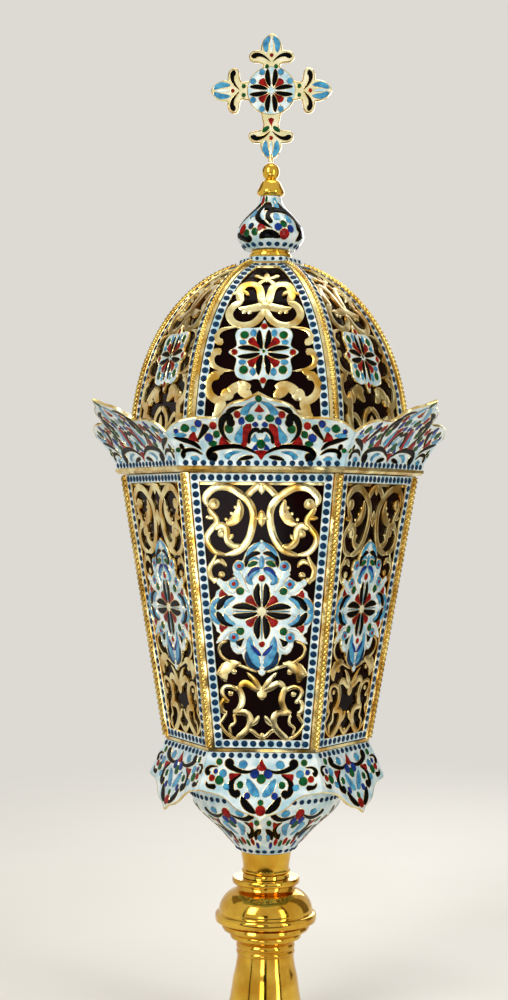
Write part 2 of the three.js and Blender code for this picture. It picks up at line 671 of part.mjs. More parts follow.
// Finial: collar, neck ring and onion threaded on the peg of the stem, with a nut inside the dome
const domeCollarBase = domeTop + seatGap;
const neckBase = domeCollarBase + domeCollarHeight + seatGap;
const onionBase = neckBase + neckHeight + seatGap;
const stemBase = onionBase + onionHeight + seatGap;
const crossBase = stemBase + stemHeight + seatGap;
addPiece('dome_collar', sixSided([
  [0, domeCollarBase], [domeTopRadius, domeCollarBase],
  [domeTopRadius - 1, domeCollarBase + domeCollarHeight * 0.8],
  [neckRadius + 2, domeCollarBase + domeCollarHeight], [0, domeCollarBase + domeCollarHeight],
]).subtract(pegBore), enamel);
addPiece('dome_neck', round([
  [pegHole, neckBase], [neckRadius - 0.6, neckBase], [neckRadius, neckBase + neckHeight / 3],
  [neckRadius - 0.6, neckBase + neckHeight * 0.7], [neckRadius - 2, neckBase + neckHeight],
  [pegHole, neckBase + neckHeight],
]), gilt);
const onionShares = [
  [0.716, 0], [0.87, 0.1], [0.975, 0.19], [1, 0.26], [0.96, 0.39], [0.85, 0.52], [0.66, 0.66],
  [0.46, 0.79], [0.35, 0.9], [0.315, 1],
];
addPiece('finial_onion', round([
  [pegHole, onionBase],
  ...onionShares.map(([radius, height]) => [radius * onionRadius, onionBase + height * onionHeight]),
  [pegHole, onionBase + onionHeight],
]), enamel);
const beadHeight = stemHeight - 2 * ballRadius + 1.2;
const ballCentre = stemBase + stemHeight - ballRadius;
const finialNutTop = plateBase - seatGap;
const pegBottom = finialNutTop - nutHeight - 2;
addPiece('finial_stem', round([
  [0, pegBottom], [pegRadius, pegBottom], [pegRadius, stemBase], [beadRadius * 0.72, stemBase],
  [beadRadius, stemBase + beadHeight * 0.3], [beadRadius * 0.86, stemBase + beadHeight * 0.55],
  [beadRadius * 0.5, stemBase + beadHeight * 0.8], [ballRadius * 0.55, ballCentre - ballRadius * 0.84],
  [ballRadius * 0.9, ballCentre - ballRadius * 0.44], [ballRadius, ballCentre],
  [ballRadius * 0.9, ballCentre + ballRadius * 0.44], [ballRadius * 0.55, ballCentre + ballRadius * 0.84],
  [0, ballCentre + ballRadius],
], 16), gilt);
const finialNutBase = finialNutTop - nutHeight;
addPiece('finial_nut', hexNut(finialNutBase, pegBore), steel);

// Cross: a disc, four arms with lily ends, and a foot that stands on the ball
// Half of a lily end: distances back from its tip and out from the side of the arm
const lilyHalf = [
  [20, 0], [19, 4.5], [15.5, 10.5], [12.5, 9.5], [12.8, 4], [10, 1.7], [6, 2.5], [2.2, -0.5],
];
const armRoot = 4;

function lilyArm(length) {
  const neck = crossArmWidth / 2;
  const half = [
    [crossDiscRadius - armRoot, neck],
    ...lilyHalf.map(([back, out]) => [length - back, neck + out]),
    [length, 0],
  ];
  return [...half, ...half.slice(0, -1).reverse().map(([x, y]) => [x, -y])];
}

const crossCentre = crossBase + crossDrop;
const crossFrame = (quarter) => frameOf([0, crossThickness / 2, crossCentre], [1, 0, 0], [0, 0, 1])
  .multiply(new THREE.Matrix4().makeRotationZ(quarter * Math.PI / 2));
const footDepth = crossDrop - 2.2;
const armLengths = [crossReach, crossRise, crossReach, footDepth];
const arms = armLengths.map((length, quarter) => pushed(lilyArm(length), crossThickness, crossFrame(quarter)));
const disc = pushed(lobed(0, crossDiscRadius, crossDiscRadius, 1, 0, 24), crossThickness, crossFrame(0));
const footHalf = crossThickness / 2;
const foot = solid(new THREE.BoxGeometry(2 * footHalf, crossThickness, 6),
  new THREE.Matrix4().makeTranslation(0, 0, crossBase + 3));
addPiece('cross', joined([...arms, disc, foot]), enamel);

export default lantern;
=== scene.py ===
# %% [markdown]
# # Enamel lantern
#
# A processional lantern of gilt brass with filigree enamel: a round foot that
# takes a pole, a flared six-sided body with pierced panels, a crown of enamelled
# petals, a ribbed dome and a cross on an onion finial.
# The CAD frame gives the sizes and places. This scene makes the smooth turned
# brass, the petals, the pierced scrolls and every cell of enamel.

import math

import bmesh
import bpy
from mathutils import Matrix, Vector


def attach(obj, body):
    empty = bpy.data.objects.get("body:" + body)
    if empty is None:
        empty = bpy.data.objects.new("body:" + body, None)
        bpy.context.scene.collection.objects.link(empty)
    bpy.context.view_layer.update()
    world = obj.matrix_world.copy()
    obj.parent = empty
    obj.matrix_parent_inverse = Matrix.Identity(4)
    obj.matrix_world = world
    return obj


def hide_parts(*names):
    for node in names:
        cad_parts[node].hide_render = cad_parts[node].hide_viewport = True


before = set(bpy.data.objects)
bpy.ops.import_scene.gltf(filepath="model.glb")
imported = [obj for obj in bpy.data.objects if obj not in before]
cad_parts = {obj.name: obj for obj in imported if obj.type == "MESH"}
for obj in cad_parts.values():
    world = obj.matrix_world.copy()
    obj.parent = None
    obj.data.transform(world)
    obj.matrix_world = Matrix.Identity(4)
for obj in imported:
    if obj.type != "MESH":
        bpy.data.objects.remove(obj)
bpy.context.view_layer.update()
MM = 0.001
SIDES = 6


def link(made):
    """The object, now in the scene."""
    bpy.context.scene.collection.objects.link(made)
    return made


# %% [markdown]
# ## Camera
#
# The photo was taken from 1.12 m, 3 degrees to the right of the front face and
# a little below the middle of the lantern. The lens is level, so the horizon
# lies at a height of 345 mm, and the picture leans by less than half a degree.

# %% Camera
CAMERA_DISTANCE = 1120
CAMERA_HEIGHT = 344.6
CAMERA_TURN = math.radians(3)
CAMERA_ROLL = math.radians(0.4)
LENS, SENSOR = 60.84, 36
SHIFT_ACROSS, SHIFT_UP = -0.0145, 0.010
NEAREST_SEEN = 50

camera_data = bpy.data.cameras.new("camera")
camera_data.lens = LENS
camera_data.sensor_width = SENSOR
camera_data.shift_x = SHIFT_ACROSS
camera_data.shift_y = SHIFT_UP
camera_data.clip_start = NEAREST_SEEN * MM
camera = link(bpy.data.objects.new("camera", camera_data))
camera.location = (
    CAMERA_DISTANCE * MM * math.sin(CAMERA_TURN),
    -CAMERA_DISTANCE * MM * math.cos(CAMERA_TURN),
    CAMERA_HEIGHT * MM,
)
camera.rotation_euler = (math.radians(90), -CAMERA_ROLL, CAMERA_TURN)
bpy.context.scene.camera = camera
bpy.context.scene.view_settings.view_transform = "Standard"
print("camera:", CAMERA_DISTANCE, "mm away and", CAMERA_HEIGHT, "mm up")

# %% [markdown]
# ## Materials
#
# Every finish is a small node tree: a colour that drifts between two shades, a
# roughness that varies a little, and a faint bump. Patterns use object
# coordinates, so a pattern of 4 mm is 250 to the metre.

# %% Material helpers
def linear(text):
    """An sRGB hex colour as the linear colour that a shader takes."""
    shares = [int(text[i:i + 2], 16) / 255 for i in (1, 3, 5)]
    return tuple(s / 12.92 if s <= 0.04045 else ((s + 0.055) / 1.055) ** 2.4 for s in shares) + (1,)


def add_node(tree, kind, inputs=None, **settings):
    """A new node with its settings, and its inputs set to values or joined to sockets."""
    made = tree.nodes.new(kind)
    for name, value in settings.items():
        setattr(made, name, value)
    for name, value in (inputs or {}).items():
        if isinstance(value, bpy.types.NodeSocket):
            tree.links.new(value, made.inputs[name])
        else:
            made.inputs[name].default_value = value
    return made


def noise(tree, scale, detail=3):
    """Noise in object coordinates, with scale in features per metre."""
    place = add_node(tree, "ShaderNodeTexCoord")
    inputs = {"Vector": place.outputs["Object"], "Scale": scale, "Detail": detail}
    return add_node(tree, "ShaderNodeTexNoise", inputs).outputs[0]


# %% [markdown]
# Noise stays near the middle of its range, so each step below lies inside it.
# Painted shade gathers where a point sees little of the space within 4 mm.

# %% A finish
SHADE_STEP = (0.35, 0.65)
GLOSS_STEP = (0.3, 0.7)
GLOSS_DRIFT = 2.3
HOLLOW_REACH = 4
HOLLOW_STEP = (0.1, 0.5)
HOLLOW_SHADE_MOST = 0.9
MIX_FIRST, MIX_SECOND, MIX_RESULT = 6, 7, 2


def finish(name, light, dark, rough, drift=120, bump=0.04, grain=700, wave=0.3, hollow_shade=None, **shader):
    """A material whose colour drifts from light to dark and whose roughness is a range.

    The drift of the colour and the grain of the bump are in features per metre, and
    the wave is the height of the bump in mm.
    """
    material = bpy.data.materials.new(name)
    material.use_nodes = True
    tree = material.node_tree
    surface = tree.nodes["Principled BSDF"]
    shade = add_node(tree, "ShaderNodeMapRange", {
        "Value": noise(tree, drift), "From Min": SHADE_STEP[0], "From Max": SHADE_STEP[1],
    })
    colour = add_node(tree, "ShaderNodeMix", {
        "Factor": shade.outputs[0], MIX_FIRST: linear(light), MIX_SECOND: linear(dark),
    }, data_type="RGBA")
    base = colour.outputs[MIX_RESULT]
    # Painted shade: a darker colour is mixed in where ambient occlusion finds a hollow.
    if hollow_shade:
        hollow = add_node(tree, "ShaderNodeAmbientOcclusion", {"Distance": HOLLOW_REACH * MM}, samples=4)
        depth = add_node(tree, "ShaderNodeMapRange", {
            "Value": hollow.outputs["AO"], "From Min": HOLLOW_STEP[0], "From Max": HOLLOW_STEP[1],
            "To Min": HOLLOW_SHADE_MOST, "To Max": 0,
        })
        painted_shade = add_node(tree, "ShaderNodeMix", {
            "Factor": depth.outputs[0], MIX_FIRST: base, MIX_SECOND: linear(hollow_shade),
        }, data_type="RGBA")
        base = painted_shade.outputs[MIX_RESULT]
    gloss = add_node(tree, "ShaderNodeMapRange", {
        "Value": noise(tree, drift * GLOSS_DRIFT), "From Min": GLOSS_STEP[0], "From Max": GLOSS_STEP[1],
        "To Min": rough[0], "To Max": rough[1],
    })
    relief = add_node(tree, "ShaderNodeBump", {
        "Height": noise(tree, grain, 1 if wave > 1 else 3), "Strength": bump, "Distance": wave * MM,
    })
    tree.links.new(base, surface.inputs["Base Color"])
    tree.links.new(gloss.outputs[0], surface.inputs["Roughness"])
    tree.links.new(relief.outputs[0], surface.inputs["Normal"])
    for key, value in shader.items():
        surface.inputs[key.replace("_", " ")].default_value = value
    return material


# %% [markdown]
# The enamels are glassy and even, with a clear coat, and the deep colours shine
# less. The gilding is a warm polished metal with painted shade in its hollows, and
# the cast scrolls are rougher than the turned foot. The rod and nuts are plain
# turned steel. The ruby glass panes are near black, as painted shade of the inside.

# %% Finishes
ENAMEL = {"Coat_Weight": 0.3, "Coat_Roughness": 0.05, "Specular_IOR_Level": 0.4}
DEEP = {"Coat_Weight": 0.03, "Coat_Roughness": 0.05, "Specular_IOR_Level": 0.1}
PAINTS = {
    "white": finish("white_enamel", "#ebf3f0", "#a9ccd6", (0.12, 0.22), drift=120, **ENAMEL),
    "cream": finish("cream_enamel", "#efe8c6", "#d9cf9a", (0.12, 0.22), drift=110, **ENAMEL),
    "sky": finish("light_blue_enamel", "#4ba3c6", "#1b6f9e", (0.1, 0.18), drift=260, **ENAMEL),
    "blue": finish("dark_blue_enamel", "#14398f", "#0c2460", (0.1, 0.18), drift=260, **DEEP),
    "navy": finish("navy_enamel", "#0c3a5c", "#062038", (0.1, 0.18), drift=260, **DEEP),
    "red": finish("red_enamel", "#a01410", "#640808", (0.1, 0.18), drift=300, **DEEP),
    "green": finish("green_enamel", "#0a5a2e", "#053a1b", (0.1, 0.18), drift=300, **DEEP),
    "black": finish("black_enamel", "#030304", "#010102", (0.08, 0.14), drift=200, Specular_IOR_Level=0.06),
    # The gold and the rope take a dark brown painted shade in their hollows.
    "gold": finish("cast_gilding", "#fbeeb4", "#c99a3c", (0.14, 0.26), drift=75, bump=0.9, grain=55, wave=2.4,
                   hollow_shade="#7a5616", Metallic=1.0),
    "rope": finish("gilt_rope", "#e6c86e", "#ad822e", (0.16, 0.26), drift=60, bump=0.015, grain=300,
                   hollow_shade="#6a4a12", Metallic=1.0),
    "brass": finish("polished_gilt_brass", "#e9bd4a", "#cc952c", (0.07, 0.15), drift=60, bump=0.015,
                    grain=300, Metallic=1.0),
    "steel": finish("turned_steel", "#9a9da1", "#84878b", (0.25, 0.4), drift=200, Metallic=1.0),
    # Painted shade: the ruby glass is coloured near black to stand for the unlit inside of the lantern.
    "ruby": finish("ruby_glass", "#1a0203", "#0c0101", (0.05, 0.1), drift=30, bump=0.03, grain=60,
                   Transmission_Weight=0.25, Specular_IOR_Level=0.1, IOR=1.2),
}
print("finishes:", ", ".join(PAINTS))

# %% [markdown]
# ## Sizes shared with the solids
#
# All lengths are in millimetres. Face 0 looks at the viewer along -Y, and the
# others follow it every 60 degrees counterclockwise seen from above.

# %% Sizes
FACE_SHARE = math.cos(math.pi / SIDES)
SLOPE = math.tan(math.pi / SIDES)
DOOR_FACE = 3
POST_HALF = 3
POST_COVER = POST_HALF / FACE_SHARE
POST_PROUD = 0.7
FIELD_GAP = 0.4
BORDER = 5.3
PLATE = 1.2
GAP = 0.3

BODY_BASE, BODY_TOP = 192.5, 367.5
BODY_FACE, BODY_TOP_FACE = 66.6 * FACE_SHARE, 96.5 * FACE_SHARE
BODY_SLOPE = math.hypot(BODY_TOP - BODY_BASE, BODY_TOP_FACE - BODY_FACE)
BODY_LOW, BODY_HIGH = 2.6, 176.4
MEDALLION_RISE = 90.3

DOME_BASE, DOME_RISE, DOME_RADIUS, DOME_TOP_RADIUS, DOME_FULLNESS = 371.5, 138, 91.5, 21, 2.4
CROWN_FACE, CROWN_HEIGHT, CROWN_FLARE, CROWN_CURVE = 88.294, 41.5, 36.7, 1.64
SKIRT_TOP, SKIRT_FACE, SKIRT_DROP, SKIRT_FLARE, SKIRT_CURVE = 192.2, 58.58, 40, 15.5, 0.95
PETAL = 1.4
PETAL_SETBACK = 0.35
BOWL_BASE, BOWL_HEIGHT, BOWL_FOOT, BOWL_RIM = 119.6, 69.1, 17, 56.48
BOWL_WALL, BOWL_FLOOR = 1.6, 0.4
ONION_BASE, ONION_HEIGHT, ONION_RADIUS = 516.22, 35.5, 22.2
CROSS_CENTRE, CROSS_HALF = 622.32, 1.5
TIE_HOLE, PEG_HOLE = 4.3, 3.3
print("body slope:", round(BODY_SLOPE, 1), "mm")

# %% [markdown]
# ## Drawing on surfaces
#
# A surface is a function that takes a place on it, u across and v up, and a
# height over it, and gives the point in space. Ornament is drawn flat in u and
# v, and the surface bends it. A profile is the line that a surface follows,
# with a key that v is measured by.

# %% Lines of points
def spread(count, low=0.0, high=1.0):
    return [low + (high - low) * i / (count - 1) for i in range(count)]


def circle(radius, count):
    return [(radius * math.cos(a), radius * math.sin(a)) for a in spread(count + 1, 0, 2 * math.pi)[:-1]]


def between(table, share):
    """The value of a table of (share, value) rows at a share, on straight lines."""
    for (low, first), (high, second) in zip(table, table[1:]):
        if share <= high:
            return first + (second - first) * max(0.0, (share - low) / (high - low))
    return table[-1][1]


def smooth(points, count, closed=False):
    """Points spread evenly by share on the curve that passes through the given points."""
    total = len(points)
    spans = total if closed else total - 1
    made = []
    for step in range(count):
        share = step / (count if closed else count - 1) * spans
        index = min(int(share), spans - 1)
        t = share - index
        if closed:
            nearest = [points[(index + k) % total] for k in (-1, 0, 1, 2)]
        else:
            nearest = [points[min(max(index + k, 0), total - 1)] for k in (-1, 0, 1, 2)]
        made.append(tuple(
            0.5 * (2 * q + (r - p) * t + (2 * p - 5 * q + 4 * r - s) * t * t
                   + (3 * q - p - 3 * r + s) * t ** 3)
            for p, q, r, s in zip(*nearest)
        ))
    return made


# %% Profiles
class Profile:
    """A line of (out, height) points going up, with a rising key for each point."""

    def __init__(self, points, keys=None):
        self.points = points
        if keys is None:
            keys = [0.0]
            for (x0, z0), (x1, z1) in zip(points, points[1:]):
                keys.append(keys[-1] + math.hypot(x1 - x0, z1 - z0))
        self.keys = keys

    def at(self, key, h=0.0):
        """Distance out and height at a key, h over the line."""
        last = len(self.points) - 2
        index = next((i for i in range(last) if key <= self.keys[i + 1]), last)
        share = (key - self.keys[index]) / (self.keys[index + 1] - self.keys[index])
        (out, height), (next_out, next_height) = self.points[index:index + 2]
        start, end = self.points[max(index - 1, 0)], self.points[min(index + 2, last + 1)]
        run, rise = end[0] - start[0], end[1] - start[1]
        length = math.hypot(run, rise)
        out += (next_out - out) * share + rise / length * h
        height += (next_height - height) * share - run / length * h
        return out, height


def half_width(profile, v):
    """Half the width of a face at a key of its profile."""
    return profile.at(v)[0] * SLOPE


def field_half(profile, v):
    """Half the width of a panel, which stops short of the corner posts."""
    return half_width(profile, v) - POST_COVER - FIELD_GAP


# %% Surfaces
def face_turn(face):
    """The turn from face 0 to another face."""
    return Matrix.Rotation(face * 2 * math.pi / SIDES, 3, "Z")


def turned(spot, face):
    """A surface of face 0 on another face."""
    turn = face_turn(face)
    return lambda u, v, h=0.0: turn @ spot(u, v, h)


def face_spot(profile):
    """The surface of face 0: u across, v by the profile's key."""
    def spot(u, v, h=0.0):
        out, height = profile.at(v, h)
        return Vector((u, -out, height))
    return spot


def corner_spot(profile):
    """The corner between face 0 and face 1, where u has no effect."""
    def spot(u, v, h=0.0):
        out, height = profile.at(v, h)
        return Vector((out * SLOPE, -out, height))
    return spot


def round_spot(profile, reference):
    """A surface round the axis: u is measured round a circle of the reference radius."""
    def spot(u, v, h=0.0):
        out, height = profile.at(v, h)
        return Vector((out * math.sin(u / reference), -out * math.cos(u / reference), height))
    return spot


# %% [markdown]
# The body's faces are flat. The dome follows a full ellipse, the petals flare by
# a power, and the bowl and onion follow rows of (share of the reach, share of
# the height) that were read from the photo.

# %% The lantern's profiles
body_profile = Profile([(BODY_FACE, BODY_BASE), (BODY_TOP_FACE, BODY_TOP)])
dome_end = math.acos(DOME_TOP_RADIUS / DOME_RADIUS)
dome_profile = Profile([
    (FACE_SHARE * DOME_RADIUS * math.cos(a), DOME_BASE + DOME_RISE * math.sin(a) ** (2 / DOME_FULLNESS))
    for a in spread(90, 0, dome_end)
])
DOME_ARC = dome_profile.keys[-1]
DOME_TOP = dome_profile.points[-1][1]
crown_profile = Profile([
    (CROWN_FACE + CROWN_FLARE * t ** CROWN_CURVE, DOME_BASE + CROWN_HEIGHT * t) for t in spread(30)
], spread(30, 0, CROWN_HEIGHT))
skirt_profile = Profile([
    (SKIRT_FACE + SKIRT_FLARE * (1 - t) ** SKIRT_CURVE, SKIRT_TOP - SKIRT_DROP * (1 - t)) for t in spread(30)
], spread(30, -SKIRT_DROP, 0))
BOWL_SHARES = [(0.01, 0), (0.155, 0.09), (0.412, 0.25), (0.724, 0.415), (0.825, 0.53), (0.95, 0.78), (1, 1)]
bowl_points = [
    (BOWL_FOOT + (BOWL_RIM - BOWL_FOOT) * max(out, 0.0), BOWL_BASE + BOWL_HEIGHT * min(up, 1.0))
    for out, up in smooth(BOWL_SHARES, 50)
]
bowl_profile = Profile(bowl_points, [z - BOWL_BASE for _, z in bowl_points])
ONION_SHARES = [
    (0.716, 0), (0.87, 0.1), (0.975, 0.19), (1, 0.26), (0.96, 0.39), (0.85, 0.52), (0.66, 0.66),
    (0.46, 0.79), (0.35, 0.9), (0.315, 1),
]
onion_points = [
    (ONION_RADIUS * min(out, 1.0), ONION_BASE + ONION_HEIGHT * min(up, 1.0))
    for out, up in smooth(ONION_SHARES, 60)
]
onion_profile = Profile(onion_points, [z - ONION_BASE for _, z in onion_points])

body_spot, dome_spot = face_spot(body_profile), face_spot(dome_profile)
crown_spot, skirt_spot = face_spot(crown_profile), face_spot(skirt_profile)
bowl_spot, onion_spot = round_spot(bowl_profile, BOWL_RIM), round_spot(onion_profile, ONION_RADIUS)
BOWL_ROUND, ONION_ROUND = 2 * math.pi * BOWL_RIM, 2 * math.pi * ONION_RADIUS
print("dome arc:", round(DOME_ARC, 1), "mm, bowl round:", round(BOWL_ROUND, 1), "mm")

# %% [markdown]
# ## Pieces
#
# A Work gathers closed shells with their paints and becomes one mesh object.
# The six faces share one drawing, which is turned into place for each.

# %% Work
SHARP_ANGLE = math.radians(38)


class Work:
    """Closed shells in mm that become one piece."""

    def __init__(self):
        self.points, self.faces, self.paints = [], [], []

    def rings(self, rings, paint, closed=False):
        """A skin over rings of equal length, each a closed loop of points, with caps if it is open."""
        start, size, count = len(self.points), len(rings[0]), len(rings)
        faces = []
        for j in range(count if closed else count - 1):
            k = (j + 1) % count
            faces += [(j * size + i, j * size + (i + 1) % size, k * size + (i + 1) % size, k * size + i)
                      for i in range(size)]
        if not closed:
            faces += [tuple(range(size)), tuple(range((count - 1) * size, count * size))]
        self.points += [point for ring in rings for point in ring]
        self.faces += [tuple(start + i for i in face) for face in faces]
        self.paints += [paint] * len(faces)

    def piece(self, name, body, slot, replaced, face=0):
        """The finished object, turned to its face."""
        turn = face_turn(face)
        mesh = bpy.data.meshes.new(name)
        mesh.from_pydata([(turn @ point) * MM for point in self.points], [], self.faces)
        used = list(dict.fromkeys(self.paints))
        for paint in used:
            mesh.materials.append(PAINTS[paint])
        mesh.polygons.foreach_set("material_index", [used.index(p) for p in self.paints])
        shape = bmesh.new()
        shape.from_mesh(mesh)
        bmesh.ops.recalc_face_normals(shape, faces=shape.faces)
        shape.to_mesh(mesh)
        shape.free()
        mesh.shade_smooth()
        mesh.set_sharp_from_angle(angle=SHARP_ANGLE)
        made = link(bpy.data.objects.new(name, mesh))
        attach(made, body)
        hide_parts(*replaced)
        if face == 0:
            print(name, len(mesh.polygons), "faces")
        return made


# %% [markdown]
# A stroke is a raised strip along a curve. Its shape says how its width runs
# from start to end. Each enamel stroke lies in a slightly wider gilt wire, as
# the filigree cells of the real work do.

# %% Strips and plates
SHAPES = {
    "leaf": [(0, 0), (0.06, 0.3), (0.2, 0.72), (0.38, 0.97), (0.5, 1), (0.62, 0.97), (0.8, 0.72),
        (0.94, 0.3), (1, 0)],
    "drop": [(0, 0), (0.15, 0.14), (0.4, 0.42), (0.62, 0.8), (0.76, 1), (0.86, 0.95), (0.94, 0.7),
        (0.98, 0.42), (1, 0)],
    "even": [(0, 0), (0.015, 0.45), (0.05, 0.8), (0.1, 1), (0.9, 1), (0.95, 0.8), (0.985, 0.45), (1, 0)],
    "comma": [(0, 0.05), (0.2, 0.36), (0.45, 0.62), (0.7, 0.86), (0.85, 1), (0.94, 0.85), (0.98, 0.5),
        (1, 0)],
    "taper": [(0, 0), (0.02, 0.6), (0.06, 0.95), (0.12, 1), (0.5, 0.9), (0.8, 0.5), (1, 0)],
    "scroll": [(0, 0.1), (0.1, 0.35), (0.3, 0.6), (0.6, 0.72), (0.78, 0.62), (0.86, 0.66), (0.93, 1),
        (0.97, 0.85), (1, 0)],
}
SECTION = ((-1, 0), (-0.86, 0.7), (0, 1), (0.86, 0.7), (1, 0))
CAST_SECTION = ((-1, 0), (-0.94, 0.86), (-0.45, 1), (0.45, 1), (0.94, 0.86), (1, 0))


def ribbon(work, spot, line, halves, low, lift, paint, closed=False, section=SECTION):
    """A closed strip along a line of (u, v), with a half width at each point."""
    rings = []
    total = len(line)
    for index, (u, v) in enumerate(line):
        before = line[index - 1] if index or closed else line[0]
        after = line[(index + 1) % total] if index < total - 1 or closed else line[-1]
        du, dv = after[0] - before[0], after[1] - before[1]
        length = math.hypot(du, dv) or 1.0
        side = (dv / length * halves[index], -du / length * halves[index])
        rings.append([
            spot(u + side[0] * across, v + side[1] * across, low + (lift - low) * up)
            for across, up in section
        ])
    work.rings(rings, paint, closed)


def rim(work, spot, line, half, low, lift, closed=False):
    """A gilt wire along a line."""
    ribbon(work, spot, line, [half] * len(line), low, lift, "gold", closed)


def slab(work, spot, left, right, low, high, paint):
    """A plate between two lines of (u, v), from one height over the surface to another."""
    work.rings([
        [spot(*a, low), spot(*a, high), spot(*b, high), spot(*b, low)] for a, b in zip(left, right)
    ], paint)


def layered(work, spot, centre, outline, layers, paint):
    """A shape of one outline in layers, each with a share of its size and a height."""
    work.rings([
        [spot(centre[0] + u * share, centre[1] + v * share, height) for u, v in outline]
        for share, height in layers
    ], paint)


def both_sides(half_outline):
    """A closed outline from its right half, which runs from the top to the bottom."""
    return half_outline + [(-u, v) for u, v in half_outline[::-1] if u > 0]


# %% Strokes and dots
WIRE = 0.25
EDGE_SHARE = 0.75
ENAMEL_ROOT, ENAMEL_LIFT = -0.15, 0.34
LAYER = 0.003
FEWEST_STEPS, MOST_STEPS = 9, 60
NARROWEST = 0.04
DOT_SIDES = 12


def stroke(work, spot, points, half, paint, shape, lift, low, wire):
    """A strip on the curve through its points, with a step for about each mm."""
    reach = sum(math.dist(a, b) for a, b in zip(points, points[1:]))
    count = max(FEWEST_STEPS, min(MOST_STEPS, round(reach)))
    if len(points) == 2:
        middle = tuple((a + b) / 2 for a, b in zip(*points))
        points = [points[0], middle, points[1]]
    line = smooth(points, count)
    halves = [max(NARROWEST, half * between(SHAPES[shape], share)) for share in spread(count)]
    ribbon(work, spot, line, halves, low, lift, paint, section=SECTION if wire else CAST_SECTION)
    if wire:
        edge = low + (lift - low) * EDGE_SHARE
        ribbon(work, spot, line, [width + WIRE for width in halves], low, edge, "gold")


def dot(work, spot, centre, radius, paint, lift, low, wire):
    """A small round cell."""
    edge = low + (lift - low) * EDGE_SHARE
    buttons = [(radius, lift, paint), (radius + WIRE, edge, "gold")]
    for reach, top, colour in buttons if wire else buttons[:1]:
        layers = ((1, low), (0.92, low + (top - low) * EDGE_SHARE), (0.5, top))
        layered(work, spot, centre, circle(reach, DOT_SIDES), layers, colour)


def draw(work, spot, origin, rows, wire=True, lift=ENAMEL_LIFT, low=ENAMEL_ROOT, fullness=1):
    """Strokes and dots given as (mirroring, paint, shape, half width, points).

    Mirroring: "s" is drawn once, "m" also left to right, "q" into all four quarters.
    A row of dots has one at each of its points. Each row lies a hair over the last.
    """
    flips = {"s": [(1, 1)], "m": [(1, 1), (-1, 1)], "q": [(1, 1), (-1, 1), (1, -1), (-1, -1)]}
    for index, (mirroring, paint, shape, half, points) in enumerate(rows):
        top = lift + LAYER * index
        for across, up in flips[mirroring]:
            placed = [(origin[0] + across * u, origin[1] + up * v) for u, v in points]
            if shape == "dot":
                for centre in placed:
                    dot(work, spot, centre, half * fullness, paint, top, low, wire)
            else:
                stroke(work, spot, placed, half * fullness, paint, shape, top, low, wire)


# %% [markdown]
# ## Turned brass
#
# The foot, the finial and the small knobs are turned: each is one closed line
# of (radius, height) swept round the axis, and most have a straight bore.

# %% Turned pieces
ON_AXIS = 0.02


def lathe(work, line, paint, segments=96):
    """A closed line swept round Z. A point on the axis stays a hair off it."""
    work.rings([
        [Vector((max(radius, ON_AXIS) * x, max(radius, ON_AXIS) * y, height)) for radius, height in line]
        for x, y in circle(1, segments)
    ], paint, closed=True)


def bored(line):
    """The line with a bore of the radius that it starts at."""
    return line + [(line[0][0], line[-1][1]), line[0]]


SOCKET_LINE = [
    (14, 0), (28.4, 0), (29, 0.6), (29, 1.6), (28.2, 2.6), (27.2, 5.5), (26, 10), (24.6, 16), (23.4, 22),
    (22.3, 29), (21.45, 35.4), (20.5, 39.5), (19.65, 43), (19, 47.5), (18.6, 51.4), (19.2, 52),
    (19.45, 53), (19.2, 54), (18.7, 54.6), (18.7, 55.2), (19.3, 55.8), (19.5, 57), (19.2, 58.2),
    (18.8, 59), (19.6, 60.2), (21.4, 61.4), (23.2, 62.4), (23.75, 64), (23.2, 65.6), (22.6, 66.2),
    (22.8, 66.9), (26, 67.2), (28.2, 67.7), (28.95, 69.2), (28.4, 70.8), (26.8, 71.6), (25.6, 72.1),
    (25.4, 72.7),
]
SOCKET_BORE = [(TIE_HOLE, 72.7), (TIE_HOLE, 54.3), (0, 54.3), (0, 50), (14, 50)]
KNOB_LINE = [
    (TIE_HOLE, 73), (32.4, 73), (33.2, 73.5), (33.5, 74.6), (33.5, 77.2), (33.2, 78.3), (32.4, 78.9),
    (31.2, 79), (30.9, 79.6), (31, 80.6), (30.9, 82), (30.3, 84.2), (29.2, 86.6), (27.7, 88.8),
    (25.8, 90.8), (23.6, 92.4), (21.6, 93.4), (20.2, 94.2), (19.3, 95.2), (18.8, 96.5), (18.65, 97.7),
]
DISC_LINE = [
    (TIE_HOLE, 98), (21.5, 98), (22.1, 98.5), (22.3, 99.4), (22.3, 100.6), (22.1, 101.5), (21.5, 102),
]
COLLAR_LINE = [
    (TIE_HOLE, 102.3), (15.6, 102.3), (15.2, 103.4), (15.2, 104.6), (15.7, 105.2), (16.1, 105.8),
    (16.1, 106.8), (15.7, 107.3), (15.2, 107.8), (15.3, 109.6), (15.7, 112.6), (16.2, 115.6), (16.6, 118),
    (16.9, 119.3),
]
NECK_LINE = [
    (PEG_HOLE, 511.32), (13.2, 511.32), (13.8, 511.8), (14, 512.6), (13.8, 513.4), (13, 513.9),
    (12.4, 514.3), (12.6, 514.8), (12.8, 515.3), (12.4, 515.92),
]
STEM_LINE = [
    (0, 488.6), (3, 488.6), (3, 552.02), (6.6, 552.02), (7.4, 552.5), (8.7, 553.3), (9.15, 554.4),
    (9, 555.6), (8.1, 557.6), (7.1, 559.8), (6.2, 561.6), (5, 562.6), (4, 563.1), (3.6, 563.6),
    (4, 564.2), (4.7, 564.9), (5.3, 566), (5.65, 567.4), (5.7, 568.72), (5.6, 570), (5.2, 571.3),
    (4.4, 572.6), (3.2, 573.6), (1.6, 574.25), (0, 574.42),
]
TURNED = {
    "pole_socket": (SOCKET_LINE + SOCKET_BORE, "brass"),
    "knob": (bored(KNOB_LINE), "brass"),
    "flange_disc": (bored(DISC_LINE), "brass"),
    "neck_collar": (bored(COLLAR_LINE), "brass"),
    "dome_neck": (bored(NECK_LINE), "gilt"),
    "finial_stem": (STEM_LINE, "gilt"),
}
